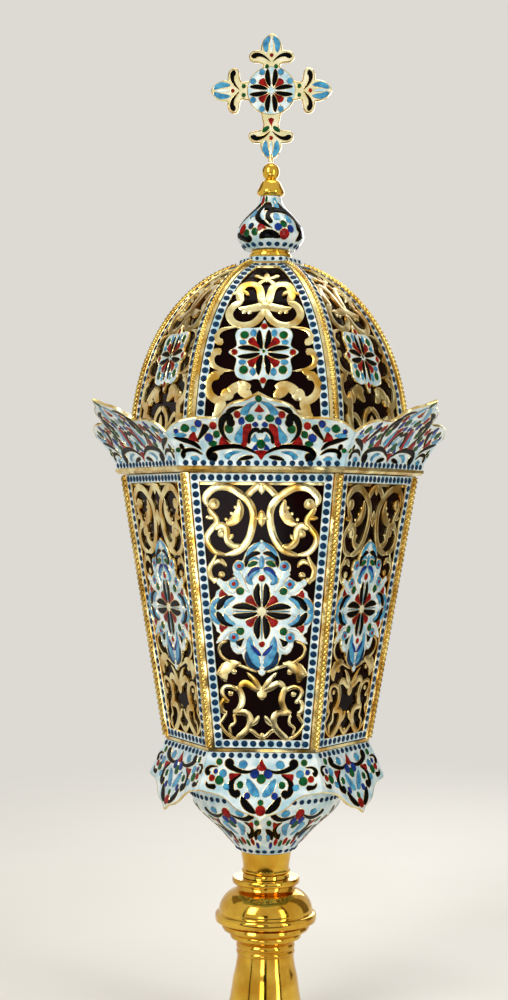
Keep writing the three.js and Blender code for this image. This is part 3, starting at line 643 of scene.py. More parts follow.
for node, (line, slot) in TURNED.items():
    work = Work()
    lathe(work, line, "brass")
    work.piece("turned_" + node, "lantern", slot, [node])

# %% [markdown]
# ## Bowl and onion
#
# Both are enamelled all round. Their drawings repeat round the axis: the bowl's
# six motifs sit between the skirt petals, and the onion has one on each side.

# %% Round ornament
BOWL_MOTIF = [
    ("s", "red", "dot", 2.7, [(0, 31)]),
    ("m", "black", "comma", 1.7, [(1.6, 31.4), (8.2, 28.6), (15, 27.8), (20.4, 30), (22, 33)]),
    ("m", "sky", "leaf", 1.9, [(8.4, 32.6), (15.4, 31.2)]),
    ("m", "blue", "dot", 2.1, [(3.6, 26.4)]),
    ("s", "green", "dot", 2.2, [(0, 23.4)]),
    ("m", "sky", "comma", 2.6, [(2.2, 14.8), (6.6, 18.4), (9.4, 24.6)]),
    ("m", "black", "scroll", 2.2, [(13.4, 25.6), (17.4, 22.6), (17.8, 18), (14, 14.6), (9.8, 14.8)]),
    ("m", "red", "drop", 2.4, [(14.8, 24.6), (20.6, 22.6)]),
    ("m", "green", "leaf", 1.8, [(22.4, 26.4), (26.2, 24)]),
    ("m", "black", "leaf", 2, [(27.5, 20), (22, 16.4), (18.4, 11.6)]),
    ("m", "sky", "dot", 2, [(24.4, 13.4)]),
    ("m", "red", "dot", 1.9, [(13.6, 10)]),
    ("s", "red", "dot", 2, [(0, 10.4)]),
    ("m", "green", "dot", 1.8, [(6.4, 9)]),
    ("m", "blue", "dot", 1.8, [(20, 7.4)]),
]
ONION_MOTIF = [
    ("s", "black", "taper", 2.4, [(3.4, 27.6), (-6, 27.6), (-10.4, 25.6), (-9.8, 20.8), (-3.9, 15.2),
        (2.6, 11.6)]),
    ("s", "black", "even", 1.6, [(2.4, 15.1), (-1.2, 20), (1.4, 24.4), (11.6, 25), (20, 22.4), (23.6, 17.6),
        (22.4, 10.8)]),
    ("s", "black", "leaf", 2.6, [(22, 21), (26, 14), (25.6, 8.6), (21.6, 5)]),
    ("s", "white", "leaf", 1.3, [(-6.5, 27), (-6.8, 22), (-3, 17)]),
    ("s", "black", "leaf", 2.6, [(-12, 31), (-20, 27), (-26, 21), (-29, 14)]),
    ("s", "black", "leaf", 2.4, [(8, 30.6), (18, 26.8), (25, 21.6), (30, 15)]),
    ("s", "black", "leaf", 2.2, [(-29.3, 9.9), (-18.8, 6.8), (-12.2, 5.7)]),
    ("s", "black", "leaf", 2, [(-6.6, 5.2), (-2.6, 7.9), (2.6, 7.9), (8.3, 5.8)]),
    ("s", "red", "drop", 2.6, [(-1.5, 11.4), (-7.6, 13.4)]),
    ("s", "red", "dot", 2.5, [(-20.9, 12.4), (10.7, 8.3), (-13.9, 32)]),
    ("s", "green", "dot", 1.8, [(-16.2, 9.2), (-9.5, 9.7), (10.5, 15), (-7, 33)]),
    ("s", "navy", "dot", 1.6, [(-12.8, 13.6)]),
    ("s", "blue", "dot", 1.9, [(6.4, 12.6), (15.4, 12)]),
    ("s", "sky", "leaf", 2.9, [(5, 33), (13.4, 27.8)]),
    ("s", "sky", "dot", 2.2, [(-15.9, 22.2), (5.9, 19.9), (15.6, 18.6)]),
]
ONION_REPEATS = 2
ROUND_FULLNESS = 1.5


def round_motifs(work, spot, rows, count, start, around):
    """A motif repeated round the axis, its first one a share of its own width along."""
    for index in range(count):
        draw(work, spot, ((start + index) / count * around, 0), rows, fullness=ROUND_FULLNESS)


bowl = Work()
bowl_inside = [
    (max(radius - BOWL_WALL, TIE_HOLE), height + BOWL_FLOOR) for radius, height in bowl_points[::-1]
]
bowl_line = [(TIE_HOLE, BOWL_BASE)] + bowl_points + bowl_inside[1:-1] + [(TIE_HOLE, BOWL_BASE + BOWL_WALL)]
lathe(bowl, bowl_line, "white")
round_motifs(bowl, bowl_spot, BOWL_MOTIF, SIDES, 0.5, BOWL_ROUND)
bowl.piece("enamel_bowl", "lantern", "enamel", ["bowl"])

onion = Work()
lathe(onion, bored([(PEG_HOLE, ONION_BASE)] + onion_points), "white")
round_motifs(onion, onion_spot, ONION_MOTIF, ONION_REPEATS, 0, ONION_ROUND)
onion.piece("enamel_onion", "lantern", "enamel", ["finial_onion"])

# %% [markdown]
# ## Petals
#
# A petal is a thin shell on its flared surface. A table gives how high it
# reaches at each share of its half width, so the grid follows its outline.

# %% Petal shell
PETAL_COLUMNS, PETAL_ROWS = 73, 14
PETAL_CROWDING = 0.8
PETAL_RIM, PETAL_RIM_LIFT = 0.3, 0.25


def petal_outline(work, profile, sign, reach):
    """A shell from the base to its outline, which is given back as a line of (u, v)."""
    def place(s, share):
        v = sign * between(reach, abs(s)) * share
        return s * (half_width(profile, v) - PETAL_SETBACK), v

    spot = face_spot(profile)
    across = [math.copysign(abs(s) ** PETAL_CROWDING, s) for s in spread(PETAL_COLUMNS, -1, 1)]
    front = [[spot(*place(s, share), 0) for share in spread(PETAL_ROWS)] for s in across]
    back = [[spot(*place(s, share), -PETAL) for share in spread(PETAL_ROWS)] for s in across]
    work.rings([line + behind[::-1] for line, behind in zip(front, back)], "white")
    return [place(s, 1) for s in across]


def petals(kind, profile, sign, reach, motif, fullness):
    """Six petals that reach up (sign 1) or down (sign -1), each with its rim and drawing."""
    spot = face_spot(profile)
    for face in range(SIDES):
        work = Work()
        outline = petal_outline(work, profile, sign, reach)
        rim(work, spot, outline, PETAL_RIM, -PETAL, PETAL_RIM_LIFT)
        draw(work, spot, (0, 0), motif, fullness=fullness)
        node = f"{kind}_petal_{face + 1}"
        work.piece("enamel_" + node, "lantern", "enamel", [node], face)


# %% [markdown]
# ## Crown petal drawing
#
# Read from the photo in millimetres: u from the middle of the petal, v up from
# its foot. A red drop and a black scroll fill the foot, an arch with blue and
# green buds stands over it, and leaves with berries spread to the corners.

# %% Crown petals
CROWN_REACH = [
    (0, 41.5), (0.03, 40.6), (0.07, 39), (0.12, 37.6), (0.19, 36.9), (0.25, 35.6), (0.3, 34),
    (0.345, 31.4), (0.38, 29.2), (0.44, 27.8), (0.52, 27.7), (0.605, 27.9), (0.7, 27.4), (0.82, 25.9),
    (0.92, 23.2), (1, 20.2),
]
CROWN_MOTIF = [
    ("m", "red", "leaf", 2.2, [(5.6, 25), (9.4, 19), (10.6, 10.6)]),
    ("m", "black", "even", 0.9, [(0.1, 19.7), (1.8, 21.4), (4.4, 21.1), (7, 18), (7.3, 13)]),
    ("m", "sky", "drop", 1.7, [(3.4, 19), (4, 14.4)]),
    ("s", "green", "dot", 2, [(0, 13.2)]),
    ("m", "blue", "drop", 1.8, [(1.8, 9.6), (4.6, 11.6)]),
    ("s", "red", "drop", 3, [(0, 3.6), (0, 9.6)]),
    ("m", "blue", "leaf", 1.1, [(0.9, 24.4), (4.9, 24.6)]),
    ("m", "green", "leaf", 1.6, [(3, 28), (9, 28.2)]),
    ("s", "sky", "dot", 1.1, [(0, 28.6)]),
    ("s", "red", "drop", 2.2, [(0, 36), (0, 31.4)]),
    ("m", "sky", "comma", 2, [(1, 37.6), (5.4, 35.4), (8.6, 32), (9.2, 29.8)]),
    ("s", "green", "dot", 1.4, [(0, 39)]),
    ("m", "black", "taper", 1.1, [(18.6, 30.2), (18.4, 31.8), (14.4, 33.6), (9.4, 34.6)]),
    ("m", "red", "dot", 1.5, [(13.4, 30.2)]),
    ("m", "blue", "leaf", 1.7, [(9.2, 25.6), (13, 27.4)]),
    ("m", "sky", "drop", 2.3, [(10.8, 25), (12.2, 19.6), (13.8, 13.6)]),
    ("m", "green", "dot", 1.9, [(18.9, 22)]),
    ("m", "black", "taper", 1.6, [(17.2, 26.6), (18.8, 29), (22.4, 27.2), (23.6, 22.6), (22.2, 18),
        (18, 14)]),
    ("m", "black", "scroll", 1.8, [(1.8, 7), (8.6, 10.4), (15.8, 11.8), (23.4, 11.4), (29.4, 10),
        (32.1, 7.2), (30.6, 4.4), (27.4, 5.4)]),
    ("m", "sky", "comma", 1.4, [(12.2, 8.6), (18.6, 7.4), (21.6, 4.2)]),
    ("m", "black", "leaf", 1, [(14.2, 3.8), (9, 5), (4.4, 5.6)]),
    ("m", "red", "drop", 2.3, [(18.6, 12.8), (25, 15.8)]),
    ("m", "green", "leaf", 1.7, [(25, 17.4), (28.4, 20.2)]),
    ("m", "green", "leaf", 1.4, [(26.6, 13.6), (32, 13.2)]),
    ("m", "blue", "dot", 1.9, [(31.4, 16.8)]),
    ("m", "red", "dot", 1.6, [(28.5, 23.8)]),
    ("m", "black", "comma", 1.7, [(38.6, 15), (35, 19.8), (32.2, 24.4)]),
    ("m", "sky", "leaf", 1.3, [(38.4, 21.6), (42.4, 22)]),
    ("m", "blue", "dot", 1.6, [(37.4, 25)]),
    ("m", "green", "leaf", 1.7, [(42.8, 22.8), (48.4, 21.6)]),
    ("m", "blue", "dot", 1.1, [(51.2, 20.6)]),
    ("m", "red", "drop", 2.3, [(37.6, 14.2), (43, 18.4)]),
    ("m", "sky", "leaf", 1.1, [(44.8, 18.2), (52.6, 18.4)]),
    ("m", "black", "leaf", 1.1, [(53, 16.8), (47.6, 15.6), (41, 13.4), (36.4, 9.8)]),
    ("m", "black", "scroll", 1.3, [(35.8, 6.8), (40.5, 9.4), (46, 9.2), (48, 6.6), (46.4, 5.2)]),
    ("m", "black", "leaf", 0.9, [(47.2, 9.6), (49.4, 13.2)]),
    ("m", "green", "dot", 1, [(50.6, 9.4)]),
    ("m", "sky", "leaf", 1.2, [(37.6, 4), (43.4, 4.8)]),
    ("m", "black", "dot", 1.8, [(29, 5.6), (17.6, 25.6)]),
]
CROWN_FULLNESS = 1.5
petals("crown", crown_profile, 1, CROWN_REACH, CROWN_MOTIF, CROWN_FULLNESS)

# %% [markdown]
# ## Skirt petal drawing
#
# Here v runs down from the body, so it is negative.

# %% Skirt petals
SKIRT_REACH = [
    (0, 40), (0.04, 38.6), (0.09, 37.1), (0.17, 36.2), (0.26, 35.2), (0.355, 33.4), (0.43, 31.4),
    (0.5, 28.8), (0.58, 26.6), (0.68, 24.9), (0.8, 24), (0.92, 23.3), (1, 22.4),
]
SKIRT_MOTIF = [
    ("s", "red", "drop", 2.7, [(0, -3.6), (0, -11)]),
    ("m", "black", "comma", 1.6, [(1, -8.8), (8, -11.6), (14.6, -10.8), (19.6, -8.4), (21, -6.4)]),
    ("m", "black", "dot", 2.2, [(20.2, -6.6)]),
    ("m", "sky", "leaf", 2, [(8.6, -6.6), (14.6, -8)]),
    ("m", "blue", "dot", 2.2, [(4.2, -12.6)]),
    ("s", "green", "dot", 2.2, [(0, -15.6)]),
    ("m", "sky", "leaf", 2.1, [(1, -26), (5, -22.2), (9, -15.4)]),
    ("m", "blue", "dot", 1.6, [(8.6, -25.6)]),
    ("s", "green", "dot", 1.4, [(0, -29.6)]),
    ("s", "red", "dot", 2.4, [(0, -34.2)]),
    ("m", "black", "leaf", 1.8, [(12.4, -25.8), (8.8, -31.4), (2.8, -36)]),
    ("m", "black", "scroll", 2.1, [(12.6, -13.2), (17.4, -16), (18.8, -20.4), (17.4, -24.4), (14.4, -25)]),
    ("m", "black", "dot", 1.8, [(15, -24.4)]),
    ("m", "green", "leaf", 1.7, [(12.4, -17), (13.8, -21.4)]),
    ("m", "red", "drop", 2.2, [(12.4, -12.4), (20, -15.8)]),
    ("m", "sky", "dot", 1.9, [(24.2, -12.6)]),
    ("m", "sky", "leaf", 2, [(20.8, -18.8), (22.4, -22.4)]),
    ("m", "green", "dot", 2.1, [(26.2, -16.6)]),
    ("m", "green", "dot", 1.5, [(26.6, -5.8)]),
    ("m", "red", "dot", 1.5, [(31, -15.4)]),
    ("m", "black", "comma", 1.3, [(27.4, -8.6), (32, -8.6), (34.2, -11), (32.4, -13.6)]),
    ("m", "black", "comma", 1.3, [(34.6, -17.4), (33.2, -20), (28, -20.6)]),
    ("m", "blue", "dot", 1.2, [(28.8, -11.4)]),
]
SKIRT_FULLNESS = 1.42
petals("skirt", skirt_profile, -1, SKIRT_REACH, SKIRT_MOTIF, SKIRT_FULLNESS)

# %% [markdown]
# ## Pierced panels
#
# A panel is a white enamel border with a gilt wire on both edges, cast scrolls
# that are pierced through, and an enamelled medallion in the middle.

# %% Border
STRIP_LIFT, STRIP_TUCK = 0.2, 0.6
STRIP_STEPS, LOOP_STEPS = 16, 12
OUTER_WIRE, INNER_WIRE, WIRE_LIFT = 0.45, 0.4, 0.45


def border(work, profile, low, high, steps=30):
    """Four white strips along the edges of a panel, with gilt wires."""
    def side(sign, inset, rises):
        return [(sign * (field_half(profile, v) - inset), v) for v in rises]

    spot = face_spot(profile)
    rises = spread(steps, low, high)
    for sign in (-1, 1):
        outer = side(sign, 0, rises)
        slab(work, spot, outer, side(sign, BORDER, rises), -PLATE, STRIP_LIFT, "white")
        rim(work, spot, outer, OUTER_WIRE, -PLATE, WIRE_LIFT)
    for base, inward in ((low, BORDER), (high, -BORDER)):
        reach = field_half(profile, base) - STRIP_TUCK * BORDER
        across = spread(STRIP_STEPS, -reach, reach)
        inner = [(u, base + inward) for u in across]
        slab(work, spot, [(u, base) for u in across], inner, -PLATE, STRIP_LIFT, "white")
    inner_low, inner_high = low + BORDER, high - BORDER
    loop = side(1, BORDER, spread(steps, inner_low, inner_high))
    loop += [(u, inner_high) for u in spread(LOOP_STEPS, loop[-1][0], -loop[-1][0])[1:-1]]
    loop += side(-1, BORDER, spread(steps, inner_high, inner_low))
    loop += [(u, inner_low) for u in spread(LOOP_STEPS, loop[-1][0], -loop[-1][0])[1:-1]]
    rim(work, spot, loop, INNER_WIRE, -PLATE, WIRE_LIFT, closed=True)


# %% Scrolls and medallion
CAST_LIFT = 0.3
PLATE_LIFT = 0.5
CELL_ROOT, CELL_LIFT = 0.4, 0.95


def cast(work, spot, origin, rows, fullness=1):
    """Gilt strokes given as (mirroring, shape, half width, points)."""
    gilt = [(mirroring, "gold", shape, half, points) for mirroring, shape, half, points in rows]
    draw(work, spot, origin, gilt, wire=False, lift=CAST_LIFT, low=-PLATE, fullness=fullness)


def medallion(work, spot, origin, outline, rows, fullness):
    """A raised white plate with a star-shaped outline and a gilt edge, and its drawing."""
    line = smooth(outline, 5 * len(outline), closed=True)
    layers = [(1, -PLATE)] + [(share, PLATE_LIFT) for share in (1, 0.8, 0.55, 0.3, 0.08)]
    layered(work, spot, origin, line, layers, "white")
    edge = [(origin[0] + u, origin[1] + v) for u, v in line]
    rim(work, spot, edge, INNER_WIRE, -PLATE, PLATE_LIFT + 0.25, closed=True)
    draw(work, spot, origin, rows, lift=CELL_LIFT, low=CELL_ROOT, fullness=fullness)


# %% [markdown]
# ## Body panel drawing
#
# The upper scrolls are two big mirrored C shapes with a leaf inside. The
# medallion has a cross of black petals with red drops between. The lower
# scrolls carry a small lily. Scrolls are measured up from the foot of the
# panel, and the medallion from its own centre.

# %% Body panels
BODY_SCROLLS = [
    ("m", "even", 2.1, [(33.4, 155.6), (34.9, 160.5), (32.8, 164.3), (29, 167.2), (24.2, 168),
        (19.4, 167.2), (14.1, 164.3), (9.9, 160.8), (6.7, 156.7), (5.3, 152.4), (5.1, 147.5), (5.9, 142.7),
        (7.2, 137.8), (9.3, 133.5), (12.5, 129.7), (17.8, 126.5), (23.2, 125.4)]),
    ("m", "even", 1.6, [(22, 125.4), (28.5, 127), (32.2, 130.8), (33.8, 135.1), (33.3, 138.3),
        (30.6, 142.1), (28, 145.4), (28.4, 148.8), (31, 152), (33.2, 155.8)]),
    ("m", "leaf", 1.3, [(28.6, 148.2), (34.8, 149)]),
    ("m", "dot", 3.3, [(29.4, 157.4)]),
    ("m", "dot", 2.6, [(24.5, 138.9)]),
    ("m", "leaf", 2.9, [(14.4, 160.4), (13.4, 154.5), (15.2, 149.4), (18.8, 146), (22.6, 144.6)]),
    ("m", "dot", 1, [(16.2, 155.2), (18.6, 151.4), (22, 147.8)]),
    ("m", "even", 1.9, [(12.6, 131.2), (17, 130.8), (20.4, 133.4), (21.6, 137.4), (21.8, 141.2), (24, 144),
        (27.4, 143.4), (30, 141.6)]),
    ("m", "leaf", 1.1, [(20.4, 134.6), (17.6, 138.6)]),
    ("m", "even", 1.9, [(0, 169.2), (3.6, 167.8), (6.6, 165.2), (9, 162.4)]),
    ("s", "leaf", 1.9, [(0, 170.9), (0, 163.6)]),
    ("s", "leaf", 2.3, [(0, 153.8), (0, 143.4)]),
    ("s", "even", 1.2, [(-4.6, 148.4), (4.6, 148.4)]),
    ("m", "scroll", 2.3, [(28, 126), (30.4, 120.6), (32.8, 116), (31.4, 111.2), (28, 109)]),
    ("m", "dot", 2, [(24.9, 113)]),
    ("m", "leaf", 1.6, [(30.6, 119.4), (25.6, 121.6), (22, 118.2)]),
    ("m", "taper", 2, [(0.5, 39.2), (2.6, 42.1), (4.4, 45.4), (6.8, 48.7), (9.9, 51.6)]),
    ("m", "even", 1.9, [(0.4, 39.2), (5.5, 41.6), (8.7, 43.7), (10.8, 44.4), (12.6, 43), (12.9, 41.6)]),
    ("s", "leaf", 2.8, [(0, 42), (0, 33.6)]),
    ("m", "even", 1.8, [(16.5, 42), (14.2, 39.7), (12.6, 36), (12.4, 32.2), (13.8, 28.4), (15.6, 26.1),
        (18.2, 24.9)]),
    ("m", "even", 1.9, [(17.4, 25.1), (13.8, 25.6), (10.1, 25.1), (7.8, 22.8), (7.3, 19), (8.7, 15.3),
        (11.5, 12), (14.2, 9.6), (16, 7.4)]),
    ("m", "leaf", 1.4, [(7, 16.6), (3.7, 20), (1.8, 23.7)]),
    ("m", "even", 1.1, [(8.2, 14.6), (5.5, 13.2), (2.8, 10.6), (0, 9.2)]),
    ("s", "leaf", 1.6, [(0, 12.6), (0, 6.6)]),
    ("m", "even", 1.2, [(14.7, 39.7), (19.3, 42.1), (23.4, 41.6), (25, 38.3), (23.4, 34.5), (20.7, 31.7)]),
    ("m", "even", 1.3, [(23.4, 34.1), (25.5, 30.3), (24.8, 26.6), (22, 24.7)]),
    ("m", "dot", 1.5, [(19.7, 37.4)]),
    ("m", "even", 0.9, [(26.6, 18.1), (24.3, 14.3), (20.7, 10.6), (16.5, 8.2)]),
    ("m", "even", 0.8, [(17.9, 24.4), (17, 19), (20.2, 15.7), (19.2, 10.4)]),
    ("m", "even", 0.9, [(22.2, 25), (24.2, 21.4), (26.2, 18.4)]),
    ("m", "even", 0.8, [(3, 51.4), (10.1, 54.3), (19.3, 57.6), (24.6, 61), (26.8, 65.4), (25.4, 69.6),
        (21.4, 71.2)]),
    ("m", "leaf", 3.3, [(13, 57), (19.6, 55.6), (24, 51), (22.4, 45)]),
    ("m", "dot", 1.6, [(26, 50.4), (17.4, 51.6)]),
    ("m", "leaf", 0.9, [(23.6, 57.6), (26.6, 52.4), (28.9, 48.7)]),
]
MEDALLION_OUTLINE = both_sides([
    (0, 45), (2.4, 42.4), (6, 40.6), (9.6, 37.4), (11.4, 33), (12.6, 31.4), (15.2, 32), (17.6, 29.6),
    (18, 26), (16.6, 22.4), (18.6, 20.8), (22.6, 18.6), (26.8, 20.6), (28, 17.6), (25.6, 14.6),
    (28.2, 12.2), (28.8, 9.6), (31.2, 6), (32.6, 0), (31.2, -6), (28.6, -10.4), (28, -13), (25.8, -15),
    (28.6, -20.6), (22.8, -18.4), (20, -18.6), (19.2, -23), (16, -27.2), (12.6, -27.2), (11.6, -30),
    (9.6, -33.4), (5, -36.4), (2.8, -38), (0, -41.4),
])
MEDALLION = [
    ("m", "white", "comma", 2.1, [(7.6, 12), (10.4, 15), (13.6, 21.4), (16.6, 25.4)]),
    ("m", "white", "comma", 2, [(16.6, 11.2), (21, 13.8), (25, 18.2)]),
    ("m", "white", "comma", 1.7, [(9.4, -17.6), (11.2, -23.4), (15.4, -25.4), (17.4, -22.4)]),
    ("m", "white", "comma", 1.5, [(15.4, -11.4), (21.2, -13.4), (27, -19.4)]),
    ("m", "sky", "dot", 3, [(14, 28.5), (17.4, 17.2), (17.5, -16.6)]),
    ("q", "red", "drop", 2.7, [(2, 2.2), (9.2, 9)]),
    ("q", "black", "leaf", 2.1, [(2.3, 17.8), (3.1, 10.5), (1.1, 2.4)]),
    ("q", "black", "leaf", 2, [(18.2, 2.5), (11, 3.1), (2.6, 1.1)]),
    ("m", "sky", "leaf", 0.45, [(4, 0), (18, 0)]),
    ("s", "sky", "leaf", 0.45, [(0, 18), (0, 4)]),
    ("s", "sky", "leaf", 0.45, [(0, -18), (0, -4)]),
    ("s", "cream", "dot", 2.6, [(0, 0)]),
    ("q", "sky", "leaf", 1.6, [(16.4, 8.6), (21, 6.4), (23.4, 1.4)]),
    ("m", "white", "dot", 2.7, [(20.3, 0)]),
    ("q", "black", "leaf", 2.1, [(17.6, 9.6), (23.4, 7.2), (26.4, 3.2), (27.8, 0.4)]),
    ("q", "sky", "leaf", 1.5, [(26, 8.6), (29.8, 4.8), (31.6, 0.2)]),
    ("m", "sky", "dot", 1.7, [(30.4, 0)]),
    ("q", "red", "drop", 2.5, [(21, 10), (26.4, 11.4)]),
    ("m", "red", "dot", 2, [(14, 28.5), (17.4, 17.2), (17.5, -16.6)]),
    ("q", "green", "dot", 2.4, [(13.4, 12.7)]),
    ("m", "sky", "leaf", 1.6, [(9.4, 34.4), (7.2, 38), (3.8, 41), (0.4, 43.4)]),
    ("m", "black", "leaf", 1.9, [(9.9, 27.6), (9, 32.6), (5.6, 36), (0.6, 36.6)]),
    ("s", "white", "dot", 2.3, [(0, 40.4)]),
    ("m", "sky", "leaf", 0.8, [(8.4, 31.6), (5, 33.6), (1.4, 32.6)]),
    ("m", "green", "leaf", 1.7, [(8.8, 28.2), (5.6, 30), (2.4, 30.8)]),
    ("s", "sky", "leaf", 1.6, [(0, 35), (0, 26.4)]),
    ("m", "sky", "leaf", 2.2, [(1, 26), (6.4, 23), (8.2, 19.4), (5.4, 16.8)]),
    ("m", "blue", "leaf", 1.8, [(0.8, 27.2), (5, 25.8), (9, 21.4)]),
    ("s", "red", "dot", 2.1, [(0, 20.9)]),
    ("s", "red", "dot", 1.8, [(0, -20.9)]),
    ("m", "sky", "leaf", 3, [(7.6, -15.8), (7, -24), (3.4, -32.8), (0.6, -34)]),
    ("m", "blue", "leaf", 1.7, [(7.8, -20.4), (4.4, -24.8), (0.4, -28.2)]),
    ("m", "navy", "leaf", 2, [(9.8, -25.4), (7.6, -33), (1, -37.4)]),
    ("s", "white", "dot", 2, [(0, -38.6)]),
    ("m", "black", "drop", 2.2, [(11, -17), (15.4, -21.6)]),
]
SCROLL_FULLNESS, MEDALLION_FULLNESS = 1.14, 1.12
for face in range(SIDES):
    work = Work()
    is_door = face == DOOR_FACE
    border(work, body_profile, BODY_LOW + (GAP if is_door else 0), BODY_HIGH)
    cast(work, body_spot, (0, 0), BODY_SCROLLS, SCROLL_FULLNESS)
    medallion(work, body_spot, (0, MEDALLION_RISE), MEDALLION_OUTLINE, MEDALLION, MEDALLION_FULLNESS)
    node = "door_panel" if is_door else f"body_panel_{face + 1}"
    work.piece("pierced_" + node, "door" if is_door else "lantern", "gilt", [node], face)

# %% [markdown]
# ## Dome
#
# Six ribs rise along the corners, with a pierced panel and a ruby pane between
# each pair. The panel has a square rosette with a point on each side.

# %% Dome panels
ROSETTE_RISE = 71
ROSETTE_V = max(
    key for key, (_, z) in zip(dome_profile.keys, dome_profile.points) if z < DOME_BASE + ROSETTE_RISE
)
ROSETTE_OUTLINE = both_sides([
    (0, 22.4), (2.4, 17.6), (5.4, 16.7), (12, 16.8), (16.2, 15.4), (17.9, 11.4), (16.9, 6.2), (17.4, 3.6),
    (21.8, 0), (17.4, -3.6), (16.9, -6.2), (17.9, -11.8), (15.8, -16.4), (9.4, -18.4), (5.4, -17.6),
    (2.4, -18.2), (0, -23.4),
])
ROSETTE = [
    ("q", "red", "drop", 2.4, [(1.8, 2), (9.2, 9)]),
    ("q", "black", "leaf", 1.7, [(3, 15.2), (2.8, 8), (1, 1.8)]),
    ("q", "black", "leaf", 1.55, [(16.2, 3), (9, 2.7), (2.2, 0.9)]),
    ("q", "sky", "leaf", 1.7, [(6.2, 10.2), (6.6, 15.6)]),
    ("q", "sky", "leaf", 1.6, [(10.6, 6.4), (15.6, 6.8)]),
    ("q", "green", "dot", 2.3, [(12.2, 11.6)]),
    ("s", "red", "dot", 1.7, [(0, 17.8), (0, -18.4)]),
    ("m", "red", "dot", 1.7, [(18.2, 0)]),
    ("s", "green", "dot", 0.9, [(0, 0.6)]),
]
DOME_SCROLLS = [
    ("m", "even", 2.6, [(0.4, 31), (2.4, 38.5), (3.6, 46.2), (5.8, 51), (9.7, 52.8), (13.9, 51.4),
        (16.2, 46.5), (16.2, 40.5), (15, 35.6)]),
    ("m", "even", 2.5, [(0.4, 31), (3.2, 24.2), (7.4, 20.1), (13.5, 18.6), (19.3, 20.7), (22.3, 25.8),
        (21.4, 30.7), (18.5, 34.4), (14.4, 36.9)]),
    ("m", "taper", 3.2, [(0, 33.8), (6.7, 31.8), (12.6, 31), (17, 32.2)]),
    ("m", "dot", 1.5, [(13.2, 28.8), (9.6, 28.6)]),
    ("m", "leaf", 1.5, [(15.6, 47.4), (10.4, 42.4)]),
    ("m", "leaf", 1.4, [(15.6, 46), (22, 42.8)]),
    ("s", "dot", 4.6, [(0, 33.8)]),
    ("m", "even", 1.5, [(5.4, 51.4), (3.4, 54.8), (0, 58.2), (3, 59.4), (6.2, 61)]),
    ("m", "dot", 2, [(6.2, 61.6)]),
    ("s", "leaf", 1.9, [(0, 65), (0, 54.4)]),
    ("m", "comma", 2.6, [(15.6, 17.6), (22, 16.8), (27.2, 15), (29.8, 11.2), (28.4, 7.6), (25.2, 6.8)]),
    ("m", "taper", 2.4, [(26, 0.4), (30, 0.2), (32.6, -3.6), (31.2, -8.4), (25.6, -11.4), (16.6, -12.2)]),
    ("m", "leaf", 1.9, [(23.8, -11.8), (28.2, -13.8), (32.3, -13.4)]),
    ("m", "even", 2.7, [(27, -16.4), (31, -15.8), (33.8, -18.8), (34.4, -23), (32.2, -28), (27.4, -31),
        (23, -28.6)]),
    ("m", "dot", 4.4, [(22, -27.2), (27.2, -41)]),
    ("m", "even", 3.2, [(21, -26), (17, -22.8), (12.4, -21.6), (8.4, -24.2)]),
    ("m", "leaf", 3.8, [(15, -18.6), (12.2, -24.6), (6.6, -29.2)]),
    ("m", "even", 3.2, [(24.6, -30.4), (26.6, -36), (27.2, -42), (26.6, -50), (27, -60), (27, -66)]),
    ("m", "even", 2.4, [(33, -62), (27, -58), (14, -57), (0, -62)]),
    ("m", "even", 2.1, [(0, -33), (7, -37), (10, -44), (7.6, -51), (0, -56)]),
    ("s", "leaf", 3, [(0, -38), (0, -52)]),
    ("m", "even", 1.9, [(9.4, -46), (14, -45), (17.4, -41), (21, -38.6), (25, -39)]),
    ("m", "leaf", 2.2, [(26, -53), (18.6, -53.6), (14.6, -48.6)]),
]
ROSETTE_FULLNESS = 1.25
DOME_LOW, DOME_HIGH = 4.2, DOME_ARC - 4.6
for face in range(SIDES):
    work = Work()
    border(work, dome_profile, DOME_LOW, DOME_HIGH, steps=60)
    cast(work, dome_spot, (0, ROSETTE_V), DOME_SCROLLS)
    medallion(work, dome_spot, (0, ROSETTE_V), ROSETTE_OUTLINE, ROSETTE, ROSETTE_FULLNESS)
    work.piece(f"pierced_dome_panel_{face + 1}", "lantern", "gilt", [f"dome_panel_{face + 1}"], face)

# %% [markdown]
# The panes are bent sheets behind the panels. The ribs are chevrons that wrap
# each corner, joined by a ring at the foot and a six-sided plate on top.

# %% Dome panes
PANE_DEPTH, PANE, PANE_GAP = 1.5, 2, 0.6
PANE_LOW, PANE_HIGH = 4.3, DOME_ARC - 12
for face in range(SIDES):
    work = Work()
    rises = spread(48, PANE_LOW, PANE_HIGH)
    left, right = (
        [(side * (half_width(dome_profile, v) - POST_COVER - PANE_GAP), v) for v in rises] for side in (-1, 1)
    )
    slab(work, dome_spot, left, right, -PANE_DEPTH - PANE, -PANE_DEPTH, "ruby")
    work.piece(f"pane_dome_{face + 1}", "lantern", "ruby_glass", [f"dome_glass_{face + 1}"], face)

# %% Dome frame
RIB_DEPTH, RIB_STEPS = 3, 70
FOOT_RING = [(87, 0), (92, 0), (92, 3.5), (87, 3.5)]
TOP_PLATE = [(20, -9), (22.4, -3.4), (22.4, 0), (PEG_HOLE, 0), (PEG_HOLE, -9)]
dome_corner = corner_spot(dome_profile)
corner = Vector((math.sin(math.pi / SIDES), -math.cos(math.pi / SIDES), 0))


def over_corner(point):
    """The point mirrored over the upright plane through a corner."""
    flat = Vector((point.x, point.y, 0))
    swapped = 2 * flat.dot(corner) * corner - flat
    return Vector((swapped.x, swapped.y, point.z))


def six_sided(work, line, base, paint):
    """A closed line of (corner radius, rise over the base) swept round six corners."""
    rings = []
    for index in range(SIDES):
        turn = math.pi / SIDES + 2 * math.pi * index / SIDES
        rings.append([Vector((r * math.sin(turn), -r * math.cos(turn), base + rise)) for r, rise in line])
    work.rings(rings, paint, closed=True)


